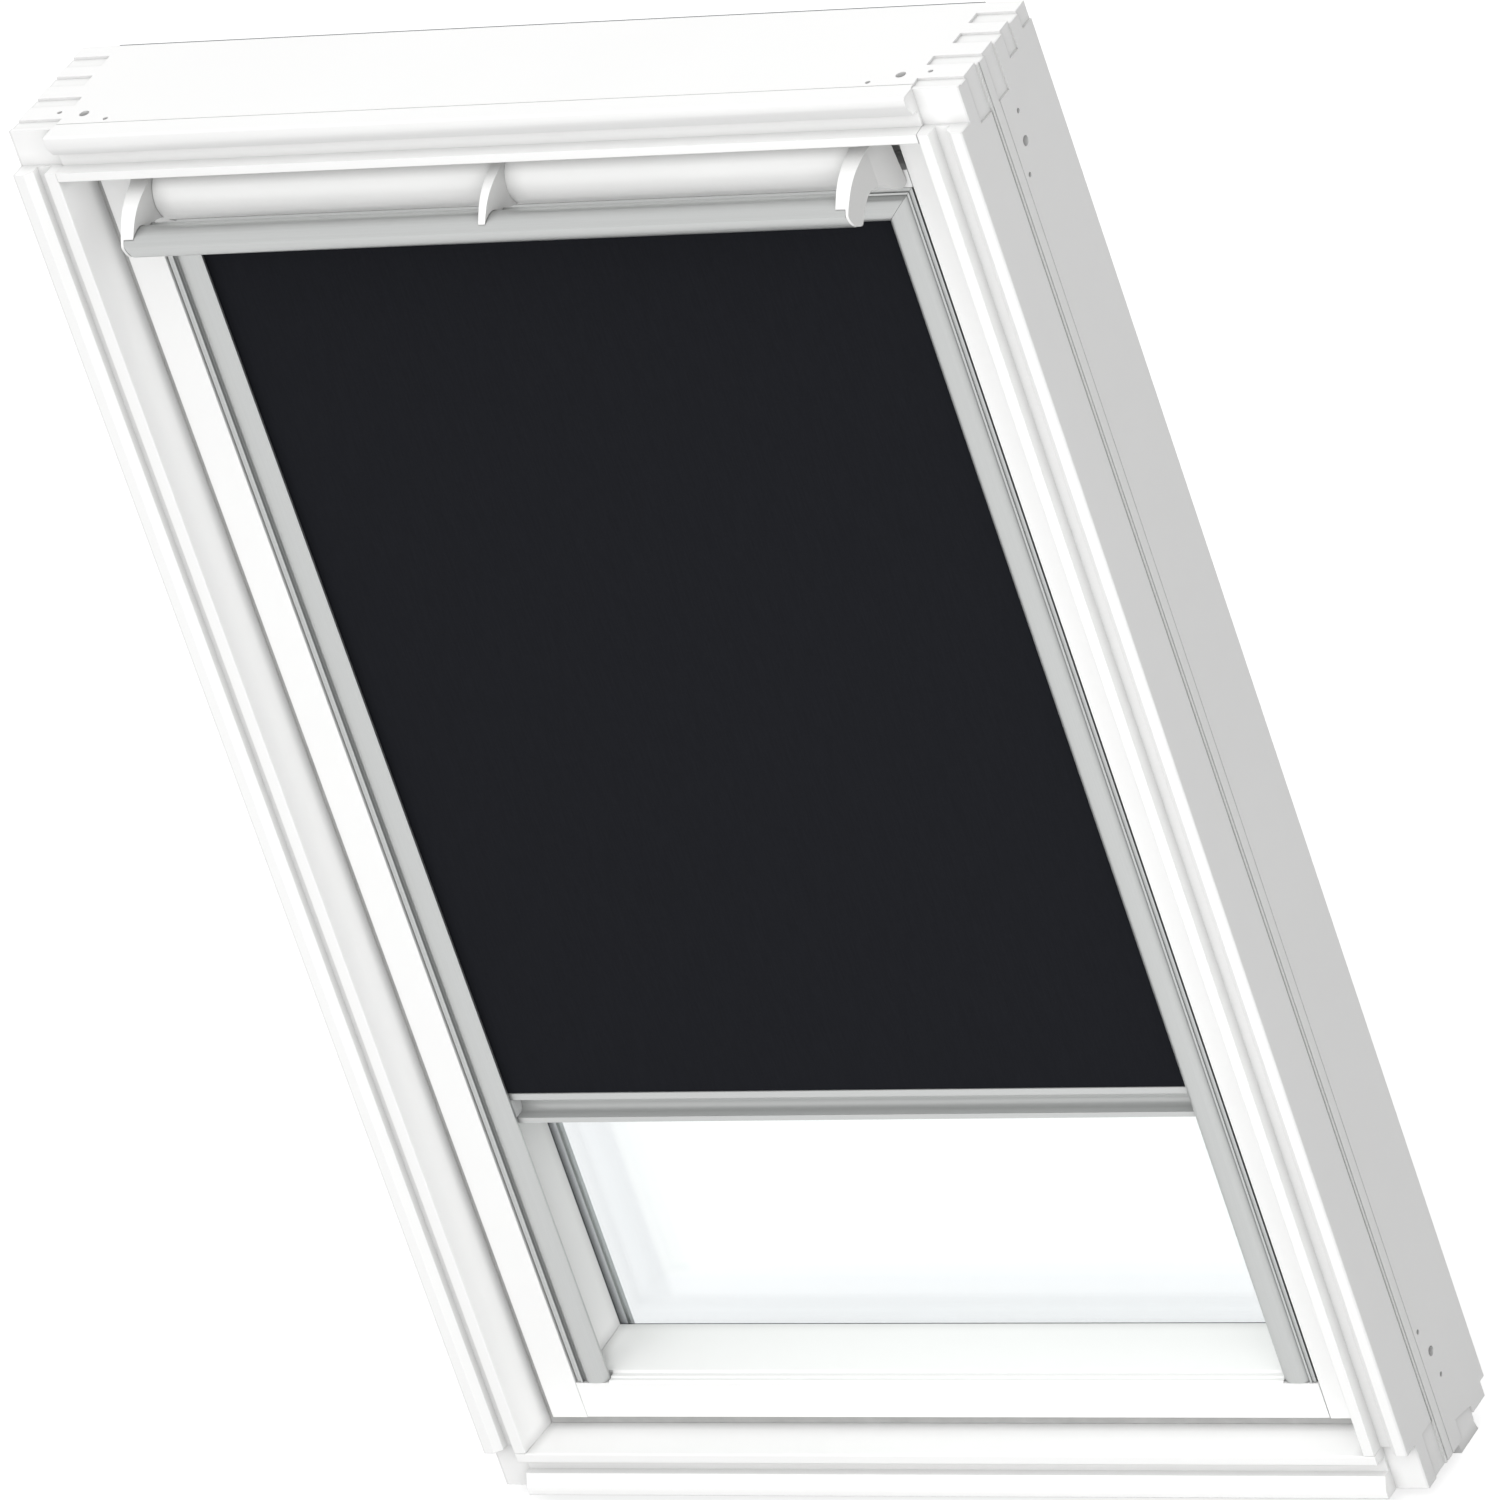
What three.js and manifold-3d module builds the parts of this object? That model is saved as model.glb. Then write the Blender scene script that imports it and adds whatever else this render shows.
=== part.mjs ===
// Centre-pivot roof window with a roller blind in its sash.
// Units are millimetres. X runs to the right seen from the room, Z runs up the slope and -Y faces the room.
// The origin is the middle of the sill's underside.
import * as THREE from 'three';
import { mergeVertices } from 'three/addons/utils/BufferGeometryUtils.js';
import Module from 'manifold-3d';

const wasm = await Module();
wasm.setup();

// Overall frame
const FRAME_W = 780;
const FRAME_H = 1178;
const FRAME_D = 128;

// Clearances
const JOINT = 0.3;
const RUN_GAP = 0.5;
const PIN_GAP = 0.1;
const OVERRUN = 40;

// Room-side lips of the frame
const LIP_DROP = 5;
const GROOVE_DEEP = 11.5;
const CORNER_SET = 14;
const LIP_ROUND = 1.2;
const SIDE_LIP_FLAT = 9;
const SIDE_LIP_RUN = 5.8;
const SIDE_LIP_IN = 9.3;
const END_LIP_FLAT = 8;
const END_LIP_RUN = 8.8;
const END_LIP_IN = 7.6;
const TOP_BLOCK = 29.6;

// Frame members, thickness at their faces and depth of their steps
const SIDE_FACE_T = 36.3;
const SIDE_DEEP_T = 39.6;
const SIDE_BACK_T = 32.5;
const TOP_FACE_T = 37;
const TOP_DEEP_T = 38.8;
const TOP_MID_T = 22;
const TOP_BACK_T = 14;
const SILL_FACE_T = 37.6;
const SILL_DEEP_T = 38.2;
const SILL_MID_T = 21;
const SILL_NOSE_T = 8;
const FACE_DEEP = 42;
const SILL_STEP = 60;
const SILL_D = 121;
const FOOT_START = 70.5;
const FOOT_W = 28;
const FOOT_SLANT = 3;
const FOOT_DROP = 9;

// Corner fingers
const TOP_FINGER_SHARES = [0, 0.114, 0.272, 0.377, 0.522, 0.64, 0.759, 0.877, 1];
const SILL_FINGER_SHARES = [0, 0.114, 0.276, 0.531, 0.751, 1];
const FINGER_SINK = 2;
const FINGER_SINK_X = 1.5;
const FRONT_SINK = 1;
const FRONT_LAYER = 3.5;
const FOOT_CUT = 6.5;
const FOOT_CUT_BACK = 19;
const FOOT_CUT_BACK_D = 7;

// Lengthwise grooves and fixing holes of the frame's outer faces
const SLOT_AT = 43.5;
const SLOT_W = 1.9;
const SLOT_DEEP = 1.5;
const SLOT_END = 36.6;
const LINE_AT = 47.4;
const LINE_W = 1.5;
const LINE_DEEP = 1;
const FINE_AT = 57.2;
const FINE_W = 1.1;
const FINE_DEEP = 0.5;
const FINE_END = 30;
const FINE_END_DEEP = 1.2;
const REBATE_AT = 18.6;
const REBATE_W = 0.8;
const REBATE_DEEP = 0.6;
const HOLE_BIG_R = 3.8;
const HOLE_SMALL_R = 1.9;
const HOLE_DEEP = 12;
const SIDE_HOLE_END = 79.6;
const SIDE_HOLE_AT = 72.6;
const TOP_HOLE_END = 54.3;
const TOP_HOLE_AT = 33;
const HOLE_PITCH = 22.4;
const HOLE_NEAR_RISE = 3;
const HOLE_FAR_DROP = 8.5;

// Sash
const SASH_SET = 35;
const SASH_D = 73;
const SASH_GAP_SIDE = 6.4;
const SASH_GAP_TOP = 6.2;
const SASH_GAP_BOTTOM = 8.3;
const RAIL_W = 30;
const RAIL_ROUND = 0.8;
const REBATE_D = 12;
const STEP_W = 37.5;
const SIGHT_W = 45.5;
const SEAT_D = 56.6;
const GLASS_EDGE_W = 28;
const BOTTOM_FACE = 30.8;
const BEAD_RISE = 1.5;
const BEAD_TOP = 2.7;
const BEAD_DEEP = 1.4;
const BEAD_STEP = 2.6;
const BOTTOM_STEP_W = 35.6;
const BOTTOM_STEP_D = 10;
const BOTTOM_SIGHT_W = 44.5;
const BOTTOM_GLASS_EDGE = 16.5;
const TOP_RAIL_LOW = 46;
const TOP_RAIL_HIGH = 32;
const TOP_RAIL_D = 9;
const TOP_SIGHT_W = 60;
const TOP_GLASS_EDGE = 44;
const TOP_CAVITY_W = 38;
const TOP_SEAT_T = 4.5;
const FLAP_RECESS_D = 27;

// Glazing
const SEAL_T = 0.9;
const SEAL_W = 9;
const PANE_T = 4;
const PANE_CAVITY = 14;
const PANE_EDGE_GAP = 4;
const SPACER_SIDE_W = 8;
const SPACER_END_W = 10;
const COVER_LAP = 12.5;
const COVER_SIDE_RISE = 4.8;
const COVER_END_RISE = 3;
const COVER_BEVEL = 4;
const COVER_BOTTOM_LAP = 8;

// Pivot hinges
const PIVOT_DEPTH = 62;
const PIVOT_R = 6;
const PIVOT_PLATE_W = 20;
const PIVOT_PLATE_H = 120;
const PIVOT_FRAME_T = 3.6;
const PIVOT_SASH_T = 3.2;

// Control bar, its arms and the vent hood
const FLAP_AXIS_D = 29.2;
const FLAP_AXIS_DROP = 38.7;
const FLAP_PIN_R = 1.5;
const ARM_FOOT_R = 4.8;
const ARM_TOP_BACK = 30.8;
const HOOD_R = 22.4;
const HOOD_D = 33;
const HOOD_DROP = 19;
const HOOD_WALL = 2;
const HOOD_BACK = 42;
const HOOD_FOOT_BACK = 33.8;
const HOOD_END_SET = 56.4;
const HOOD_END_GAP = 0.4;
const HOOD_TOP_DEG = 66.3;
const HOOD_LOW_DEG = 272;
const HOOD_STEP_OVER = 1.6;
const ARM_FRONT_W = 10.3;
const ARM_FRONT_SET = 45.2;
const ARM_FLARE_SHARE = 0.1;
const ARM_BEND_BACK = 12;
const ARM_FOOT_OUT = 15.4;
const ARM_SKIN = 2.2;
const ARM_MID_FRONT_W = 5.4;
const ARM_MID_OFF = 1.5;
const ARM_MID_BACK_W = 11;
const ARM_REACH = 62.6;
const ARM_RISE = 48.1;
const ARM_FRONT = 28.3;
const ARM_SHARES = [
  [0.804, 0.985], [0.61, 0.928], [0.436, 0.857], [0.283, 0.763], [0.158, 0.639], [0.051, 0.484], [0.012, 0.42],
  [-0.02, 0.345], [-0.004, 0.25], [0.05, 0.132],
  [0.156, 0.051], [0.213, 0.108], [0.3, 0.242], [0.482, 0.368], [0.695, 0.289], [0.804, 0.152],
];
const ARM_SPAN_STEPS = 3;
const ARM_MID_LAST_SHARE = 0.42;
const LUG_IN = 10;
const LUG_T = 4.5;
const LUG_R = 3.2;
const BAR_FRONT = 29.7;
const BAR_DEPTH = 30.2;
const BAR_TOP_DROP = 22.1;
const BAR_H = 21.9;
const BAR_TOP_SHARES = [
  [0.018, 0.55], [0, 0.64], [0.036, 0.745], [0.116, 0.86], [0.23, 0.93], [0.36, 0.985], [0.504, 1],
  [0.634, 0.938], [0.785, 0.767], [0.884, 0.686], [0.924, 0.729], [0.99, 0.729],
];
const BAR_UNDER_SHARES = [
  [0.99, 0.576], [0.785, 0.48], [0.586, 0.171], [0.378, 0], [0.315, 0.014], [0.24, 0.06], [0.156, 0.169],
  [0.06, 0.4],
];

// Blind channels and casing
const CHANNEL_GAP = 2;
const CHANNEL_W = 26.85;
const CHANNEL_FLANGE_SET = 1.2;
const CHANNEL_FLANGE_W = 4.8;
const CHANNEL_BEAD_W = 1.6;
const CHANNEL_BEAD_T = 1;
const CHANNEL_GROOVE_T = 2.6;
const CHANNEL_CROWN = 3.5;
const CHANNEL_CROWN_POWER = 3;
const CHANNEL_CROWN_STEPS = 12;
const CHANNEL_EDGE_SET = 3.2;
const CHANNEL_WALL = 2;
const CHANNEL_SLOT_D = 17.3;
const CHANNEL_SLOT_W = 14.25;
const CHANNEL_CHAMBER_WALL = 2;
const CASING_GAP = 1;
const CASING_BACK = 7.8;
const HOUSING_FRONT = 10.5;
const HOUSING_BACK = 45;
const HOUSING_WALL = 1.5;
const HOUSING_LIP = 8;
const CAP_T = 5.2;

// Roller and cloth
const ROLLER_D = 27;
const ROLLER_DROP = 55.5;
const TUBE_R = 7;
const TUBE_WALL = 1.2;
const ROLL_R = 10.1;
const PLUG_L = 15;
const AXLE_R = 2.5;
const ROLL_END_GAP = 1.8;
const CLOTH_T = 0.4;
const CLOTH_IN = 5.85;
const CLOTH_BACK = 1.5;

// Bottom bar
const BAR_REST = 305.2;
const BAR_HEIGHT = 25.4;
const BAR_THICK = 14;
const BAR_LIP_H = 5.6;
const BAR_FLOOR_H = 4.3;
const BAR_WALL = 2;
const BAR_CURVE = 5;
const BAR_IN = 1.25;
const BAR_GAP = 1.8;
const CLOTH_SLOT = 1;
const CLOTH_SLOT_DEEP = 3;

// Seals, covers and lock
const FRAME_SEAL_AT = 39.8;
const FRAME_SEAL_D = 10;
const FRAME_SEAL_GAP = 1.4;
const COVER_T = 1.4;
const COVER_OUT_W = 24;
const COVER_LIP = 12;
const LOCK_HALF = 45;
const LOCK_D = 18;
const LOCK_H = 24;
const LOCK_SET = 2.5;
const LOCK_WALL = 2;
const LOCK_SLOT = 3.6;
const STRIKE_HALF = 30;
const STRIKE_T = 3;

const ARC_STEPS = 5;
const PIN_STEPS = 24;

// Planes worked out from the sizes above
const X_SIDE = FRAME_W / 2;
const SASH_HALF = X_SIDE - SIDE_DEEP_T - SASH_GAP_SIDE;
const SASH_LOW = SILL_DEEP_T + SASH_GAP_BOTTOM;
const SASH_HIGH = FRAME_H - TOP_DEEP_T - SASH_GAP_TOP;
const SEAT_Y = SASH_SET + SEAT_D;
const PANE_IN_Y = SEAT_Y + SEAL_T + RUN_GAP / 5;
const CAVITY_Y = PANE_IN_Y + PANE_T;
const PANE_OUT_Y = CAVITY_Y + PANE_CAVITY;
const GLASS_BACK_Y = PANE_OUT_Y + PANE_T;
const PANE_HALF = SASH_HALF - GLASS_EDGE_W - PANE_EDGE_GAP;
const PANE_LOW = SASH_LOW + BOTTOM_GLASS_EDGE + PANE_EDGE_GAP;
const PANE_HIGH = SASH_HIGH - TOP_GLASS_EDGE - PANE_EDGE_GAP;
const HOOD_HALF = SASH_HALF - HOOD_END_SET;
const ARM_INNER = HOOD_HALF + HOOD_END_GAP;
const ARM_FRONT_OUT = SASH_HALF - ARM_FRONT_SET;
const CHANNEL_OUT = SASH_HALF - RAIL_W - CHANNEL_GAP;
const CHANNEL_IN = CHANNEL_OUT - CHANNEL_W;
const CHANNEL_WEB = CHANNEL_IN + CHANNEL_SLOT_W;
const BAR_HALF = CHANNEL_IN + BAR_IN;
const BAR_SET = CHANNEL_EDGE_SET + CHANNEL_WALL + BAR_GAP;
const CLOTH_HALF = CHANNEL_IN + CLOTH_IN;
const CLOTH_SET = BAR_SET + CLOTH_BACK;
const CAP_HALF = CLOTH_HALF + ROLL_END_GAP + CAP_T;
const CASING_TOP = SASH_HIGH - TOP_RAIL_LOW - CASING_GAP;
const PIVOT_Z = FRAME_H / 2;
const FLAP_AXIS_Z = SASH_HIGH - FLAP_AXIS_DROP;
const ROLLER_Z = SASH_HIGH - ROLLER_DROP;

// Depth from the frame's room face to the part's own Y
function yAt(depth) {
  return depth - FRAME_D / 2;
}

// A closed outline of [u, v, radius] corners; a radius draws the corner as an arc
function outline(corners, holes = []) {
  const count = corners.length;
  const points = [];
  corners.forEach(([u, v, radius = 0], index) => {
    const here = new THREE.Vector2(u, v);
    if (radius === 0) {
      points.push(here);
      return;
    }
    const before = new THREE.Vector2(...corners[(index + count - 1) % count].slice(0, 2)).sub(here).normalize();
    const after = new THREE.Vector2(...corners[(index + 1) % count].slice(0, 2)).sub(here).normalize();
    const half = Math.acos(before.dot(after)) / 2;
    const reach = radius / Math.tan(half);
    const centre = before.clone().add(after).normalize().multiplyScalar(radius / Math.sin(half)).add(here);
    const start = before.multiplyScalar(reach).add(here).sub(centre);
    const end = after.multiplyScalar(reach).add(here).sub(centre);
    const turn = Math.atan2(start.cross(end), start.dot(end));
    for (let step = 0; step <= ARC_STEPS; step += 1) {
      points.push(start.clone().rotateAround(new THREE.Vector2(), turn * step / ARC_STEPS).add(centre));
    }
  });
  const shape = new THREE.Shape(wound(points, false));
  for (const hole of holes) {
    const inner = hole.map((corner) => new THREE.Vector2(...corner));
    shape.holes.push(new THREE.Path(wound(inner, true)));
  }
  return shape;
}

// Points in the wanted winding
function wound(points, clockwise) {
  return THREE.ShapeUtils.isClockWise(points) === clockwise ? points : [...points].reverse();
}

function arc(centreU, centreV, radius, fromDeg, toDeg, steps) {
  const points = [];
  for (let step = 0; step <= steps; step += 1) {
    const angle = THREE.MathUtils.degToRad(fromDeg + (toDeg - fromDeg) * step / steps);
    points.push([centreU + radius * Math.cos(angle), centreV + radius * Math.sin(angle)]);
  }
  return points;
}

function circle(centreU, centreV, radius, steps = PIN_STEPS) {
  return arc(centreU, centreV, radius, 0, 360 * (steps - 1) / steps, steps - 1);
}

function toSolid(geometry) {
  const plain = geometry.clone();
  plain.deleteAttribute('normal');
  plain.deleteAttribute('uv');
  const merged = mergeVertices(plain);
  return new wasm.Manifold(new wasm.Mesh({
    numProp: 3,
    vertProperties: new Float32Array(merged.attributes.position.array),
    triVerts: new Uint32Array(merged.index.array),
  }));
}

function toGeometry(solid) {
  const result = solid.getMesh();
  const geometry = new THREE.BufferGeometry();
  geometry.setAttribute('position', new THREE.BufferAttribute(result.vertProperties, 3));
  geometry.setIndex(new THREE.BufferAttribute(result.triVerts, 1));
  return geometry;
}

function extruded(shape, length, basis) {
  const geometry = new THREE.ExtrudeGeometry(shape, { depth: length, bevelEnabled: false, steps: 1 });
  geometry.applyMatrix4(basis);
  return toSolid(geometry);
}

// Outline in (x, y), drawn out along Z
function alongZ(shape, from, to) {
  return extruded(shape, to - from, new THREE.Matrix4().makeTranslation(0, 0, from));
}

// Outline in (y, z), drawn out along X
function alongX(shape, from, to) {
  const turn = new THREE.Matrix4().makeBasis(
    new THREE.Vector3(0, 1, 0), new THREE.Vector3(0, 0, 1), new THREE.Vector3(1, 0, 0));
  turn.setPosition(from, 0, 0);
  return extruded(shape, to - from, turn);
}

// Outline in (z, x), drawn out along Y
function alongY(shape, from, to) {
  const turn = new THREE.Matrix4().makeBasis(
    new THREE.Vector3(0, 0, 1), new THREE.Vector3(1, 0, 0), new THREE.Vector3(0, 1, 0));
  turn.setPosition(0, from, 0);
  return extruded(shape, to - from, turn);
}

function block(x0, x1, y0, y1, z0, z1) {
  const geometry = new THREE.BoxGeometry(x1 - x0, y1 - y0, z1 - z0);
  geometry.translate((x0 + x1) / 2, (y0 + y1) / 2, (z0 + z1) / 2);
  return toSolid(geometry);
}

function rodX(y, z, radius, from, to) {
  return alongX(outline(circle(y, z, radius)), from, to);
}

function joined(solids) {
  return solids.reduce((whole, next) => whole.add(next));
}

function cut(solid, tools) {
  return tools.reduce((left, tool) => left.subtract(tool), solid);
}

// A copy on the other side of the YZ plane
function mirrored(solid) {
  return solid.mirror([1, 0, 0]);
}

const finishes = {
  paint: { color: 0xf4f4f2, roughness: 0.45, metalness: 0 },
  silver: { color: 0xb9bcba, roughness: 0.35, metalness: 0.85 },
  darkSilver: { color: 0x8f9391, roughness: 0.45, metalness: 0.6 },
  plastic: { color: 0xf2f2f0, roughness: 0.35, metalness: 0 },
  greyPlastic: { color: 0xa2a3a3, roughness: 0.5, metalness: 0 },
  rubber: { color: 0x3a3b3d, roughness: 0.8, metalness: 0 },
  greyRubber: { color: 0xb4b4b2, roughness: 0.8, metalness: 0 },
  glass: { color: 0xeef4f8, roughness: 0.05, metalness: 0, transparent: true, opacity: 0.25 },
  steel: { color: 0x9a9da0, roughness: 0.4, metalness: 0.9 },
  cladding: { color: 0x6f7376, roughness: 0.5, metalness: 0.5 },
  cloth: { color: 0x202125, roughness: 0.9, metalness: 0 },
};

function piece(name, solid, finish) {
  const mesh = new THREE.Mesh(toGeometry(solid), new THREE.MeshStandardMaterial(finishes[finish]));
  mesh.name = name;
  return mesh;
}

// Frame members

const topFingers = TOP_FINGER_SHARES.map((share) => CORNER_SET + (FRAME_D - CORNER_SET) * share);
const sillFingers = SILL_FINGER_SHARES.map((share) => CORNER_SET + (FRAME_D - CORNER_SET) * share);
const STEP_DEPTH = topFingers[4];
const BACK_DEPTH = topFingers[6];

function sideOutline() {
  const corners = [
    [0, 0, LIP_ROUND],
    [SIDE_LIP_FLAT, 0],
    [SIDE_LIP_FLAT + SIDE_LIP_RUN, LIP_DROP],
    [SIDE_LIP_FLAT + SIDE_LIP_RUN, GROOVE_DEEP],
    [SIDE_FACE_T - SIDE_LIP_IN, GROOVE_DEEP],
    [SIDE_FACE_T - SIDE_LIP_IN, 0],
    [SIDE_FACE_T, 0, LIP_ROUND],
    [SIDE_DEEP_T, FACE_DEEP],
    [SIDE_DEEP_T, STEP_DEPTH],
    [SIDE_BACK_T, STEP_DEPTH],
    [SIDE_BACK_T, FRAME_D],
    [0, FRAME_D],
    [0, FINE_AT + FINE_W],
    [FINE_DEEP, FINE_AT + FINE_W],
    [FINE_DEEP, FINE_AT],
    [0, FINE_AT],
    [0, LINE_AT + LINE_W],
    [LINE_DEEP, LINE_AT + LINE_W],
    [LINE_DEEP, LINE_AT],
    [0, LINE_AT],
  ];
  return outline(corners.map(([thick, depth, radius]) => [X_SIDE - thick, yAt(depth), radius]));
}

function topOutline() {
  const corners = [
    [0, 0, LIP_ROUND],
    [END_LIP_FLAT, 0],
    [END_LIP_FLAT + END_LIP_RUN, LIP_DROP],
    [END_LIP_FLAT + END_LIP_RUN, GROOVE_DEEP],
    [TOP_FACE_T - END_LIP_IN, GROOVE_DEEP],
    [TOP_FACE_T - END_LIP_IN, 0],
    [TOP_FACE_T, 0, LIP_ROUND],
    [TOP_DEEP_T, FACE_DEEP],
    [TOP_DEEP_T, STEP_DEPTH],
    [TOP_MID_T, STEP_DEPTH],
    [TOP_MID_T, BACK_DEPTH],
    [TOP_BACK_T, BACK_DEPTH],
    [TOP_BACK_T, FRAME_D],
    [0, FRAME_D],
    [0, REBATE_AT + REBATE_W],
    [REBATE_DEEP, REBATE_AT + REBATE_W],
    [REBATE_DEEP, REBATE_AT],
    [0, REBATE_AT],
  ];
  return outline(corners.map(([thick, depth, radius]) => [yAt(depth), FRAME_H - thick, radius]));
}

function sillOutline() {
  const corners = [
    [0, 0, LIP_ROUND],
    [END_LIP_FLAT, 0],
    [END_LIP_FLAT + END_LIP_RUN, LIP_DROP],
    [END_LIP_FLAT + END_LIP_RUN, GROOVE_DEEP],
    [SILL_FACE_T - END_LIP_IN, GROOVE_DEEP],
    [SILL_FACE_T - END_LIP_IN, 0],
    [SILL_FACE_T, 0, LIP_ROUND],
    [SILL_DEEP_T, FACE_DEEP],
    [SILL_DEEP_T, SILL_STEP],
    [SILL_MID_T, SILL_STEP],
    [SILL_NOSE_T, SILL_D],
    [0, SILL_D],
    [0, FOOT_START + FOOT_W],
    [-FOOT_DROP, FOOT_START + FOOT_W + FOOT_SLANT],
    [-FOOT_DROP, FOOT_START],
    [0, FOOT_START],
  ];
  return outline(corners.map(([thick, depth, radius]) => [yAt(depth), thick, radius]));
}

const sideRight = alongZ(sideOutline(), 0, FRAME_H);
const sidesWhole = joined([sideRight, mirrored(sideRight)]);
const topWhole = alongX(topOutline(), -X_SIDE, X_SIDE);
const sillWhole = alongX(sillOutline(), -X_SIDE, X_SIDE);

// Every second layer of a corner belongs to the side members, the layers between them to the cross member
function fingerLayers(fingers, ofSides, z0, z1) {
  const layers = [];
  for (let index = ofSides ? 0 : 1; index < fingers.length - 1; index += 2) {
    layers.push(block(-FRAME_W, FRAME_W, yAt(fingers[index]), yAt(fingers[index + 1]), z0, z1));
  }
  return joined(layers);
}

const topZone = [FRAME_H / 2, FRAME_H + OVERRUN];
const sillZone = [-OVERRUN, FRAME_H / 2];

// A large fixing hole with a small one on each side, from the end of the member and the depth of the large hole
function fixingHoles(end, depth) {
  return [
    { end, depth, radius: HOLE_BIG_R },
    { end: end - HOLE_PITCH, depth: depth + HOLE_NEAR_RISE, radius: HOLE_SMALL_R },
    { end: end + HOLE_PITCH, depth: depth - HOLE_FAR_DROP, radius: HOLE_SMALL_R },
  ];
}

function sideHoles(zOf) {
  return fixingHoles(SIDE_HOLE_END, SIDE_HOLE_AT).map(({ end, depth, radius }) => (
    rodX(yAt(depth), zOf(end), radius, X_SIDE - HOLE_DEEP, X_SIDE + OVERRUN)));
}

function frameSide() {
  const room = yAt(0) - OVERRUN;
  const tools = [
    block(0, FRAME_W, room, yAt(CORNER_SET), FRAME_H - TOP_BLOCK, FRAME_H + OVERRUN),
    block(0, FRAME_W, room, yAt(CORNER_SET), -OVERRUN, SILL_FACE_T + JOINT),
    topWhole.intersect(fingerLayers(topFingers, false, ...topZone)),
    sillWhole.intersect(fingerLayers(sillFingers, false, ...sillZone)),
    block(0, FRAME_W, yAt(CORNER_SET) - OVERRUN, yAt(CORNER_SET + FRONT_LAYER), FRAME_H - FRONT_SINK, FRAME_H + OVERRUN),
    block(0, FRAME_W, yAt(CORNER_SET + FRONT_LAYER), yAt(FRAME_D), FRAME_H - FINGER_SINK, FRAME_H + OVERRUN),
    block(0, FRAME_W, yAt(sillFingers[4]), yAt(FRAME_D) + OVERRUN, -OVERRUN, FOOT_CUT),
    block(0, FRAME_W, yAt(FRAME_D - FOOT_CUT_BACK_D), yAt(FRAME_D) + OVERRUN, -OVERRUN, FOOT_CUT_BACK),
    block(X_SIDE - SLOT_DEEP, FRAME_W, yAt(SLOT_AT), yAt(SLOT_AT + SLOT_W), SILL_DEEP_T, FRAME_H - SLOT_END),
    block(X_SIDE - FINE_END_DEEP, FRAME_W, yAt(FINE_AT), yAt(FINE_AT + FINE_W), FRAME_H - FINE_END, FRAME_H + OVERRUN),
    ...sideHoles((end) => end),
    ...sideHoles((end) => FRAME_H - end),
  ];
  return cut(sideRight, tools);
}

function frameTop() {
  const lipEnd = X_SIDE - SIDE_FACE_T - JOINT;
  const room = yAt(0) - OVERRUN;
  const tools = [sidesWhole.intersect(fingerLayers(topFingers, true, ...topZone))];
  const lips = block(-FRAME_W, FRAME_W, room, yAt(CORNER_SET), FRAME_H / 2, FRAME_H - TOP_BLOCK + JOINT);
  const nearSide = sideRight.translate([-JOINT, 0, 0]);
  tools.push(nearSide.add(mirrored(nearSide)).intersect(lips));
  for (const side of [-1, 1]) {
    const far = side * FRAME_W;
    const near = side * lipEnd;
    tools.push(block(Math.min(near, far), Math.max(near, far), room, yAt(CORNER_SET), 0, FRAME_H + OVERRUN));
    const end = side * (X_SIDE - FINGER_SINK_X);
    tools.push(block(Math.min(end, far), Math.max(end, far), room, yAt(FRAME_D) + OVERRUN, 0, FRAME_H + OVERRUN));
    for (const { end: inset, depth, radius } of fixingHoles(TOP_HOLE_END, TOP_HOLE_AT)) {
      const hole = alongZ(outline(circle(side * (X_SIDE - inset), yAt(depth), radius)), FRAME_H - HOLE_DEEP,
        FRAME_H + OVERRUN);
      tools.push(hole);
    }
  }
  return cut(topWhole, tools);
}

function frameSill() {
  const lipEnd = X_SIDE - SIDE_FACE_T + SIDE_LIP_IN;
  const room = yAt(0) - OVERRUN;
  const tools = [sidesWhole.intersect(fingerLayers(sillFingers, true, ...sillZone))];
  for (const side of [-1, 1]) {
    const far = side * FRAME_W;
    const near = side * lipEnd;
    tools.push(block(Math.min(near, far), Math.max(near, far), room, yAt(CORNER_SET), -OVERRUN, FRAME_H));
    const end = side * (X_SIDE - FINGER_SINK_X);
    tools.push(block(Math.min(end, far), Math.max(end, far), room, yAt(FRAME_D) + OVERRUN, -OVERRUN, FRAME_H));
  }
  return cut(sillWhole, tools);
}

// A flat ring round an opening, drawn out along Y; each rectangle is [half width, low, high]
function ringY(outer, inner, y0, y1) {
  const [outHalf, outLow, outHigh] = outer;
  const [inHalf, inLow, inHigh] = inner;
  const shape = outline(
    [[outLow, -outHalf], [outHigh, -outHalf], [outHigh, outHalf], [outLow, outHalf]],
    [[[inLow, -inHalf], [inHigh, -inHalf], [inHigh, inHalf], [inLow, inHalf]]]);
  return alongY(shape, y0, y1);
}

function frameSeal() {
  const outer = [X_SIDE - SIDE_DEEP_T - JOINT, SILL_DEEP_T + JOINT, FRAME_H - TOP_DEEP_T - JOINT];
  const reachZ = Math.hypot(SASH_HIGH - PIVOT_Z, glassCoverDepth() - PIVOT_DEPTH);
  const reachLow = Math.hypot(PIVOT_Z - SASH_LOW, PIVOT_DEPTH - SASH_SET);
  const inner = [SASH_HALF + FRAME_SEAL_GAP, PIVOT_Z - reachLow - FRAME_SEAL_GAP, PIVOT_Z + reachZ + FRAME_SEAL_GAP / 2];
  return ringY(outer, inner, yAt(FRAME_SEAL_AT), yAt(FRAME_SEAL_AT + FRAME_SEAL_D));
}

// Depth of the outside of the sash's own covers
function glassCoverDepth() {
  return GLASS_BACK_Y + SEAL_T + COVER_SIDE_RISE;
}

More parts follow.
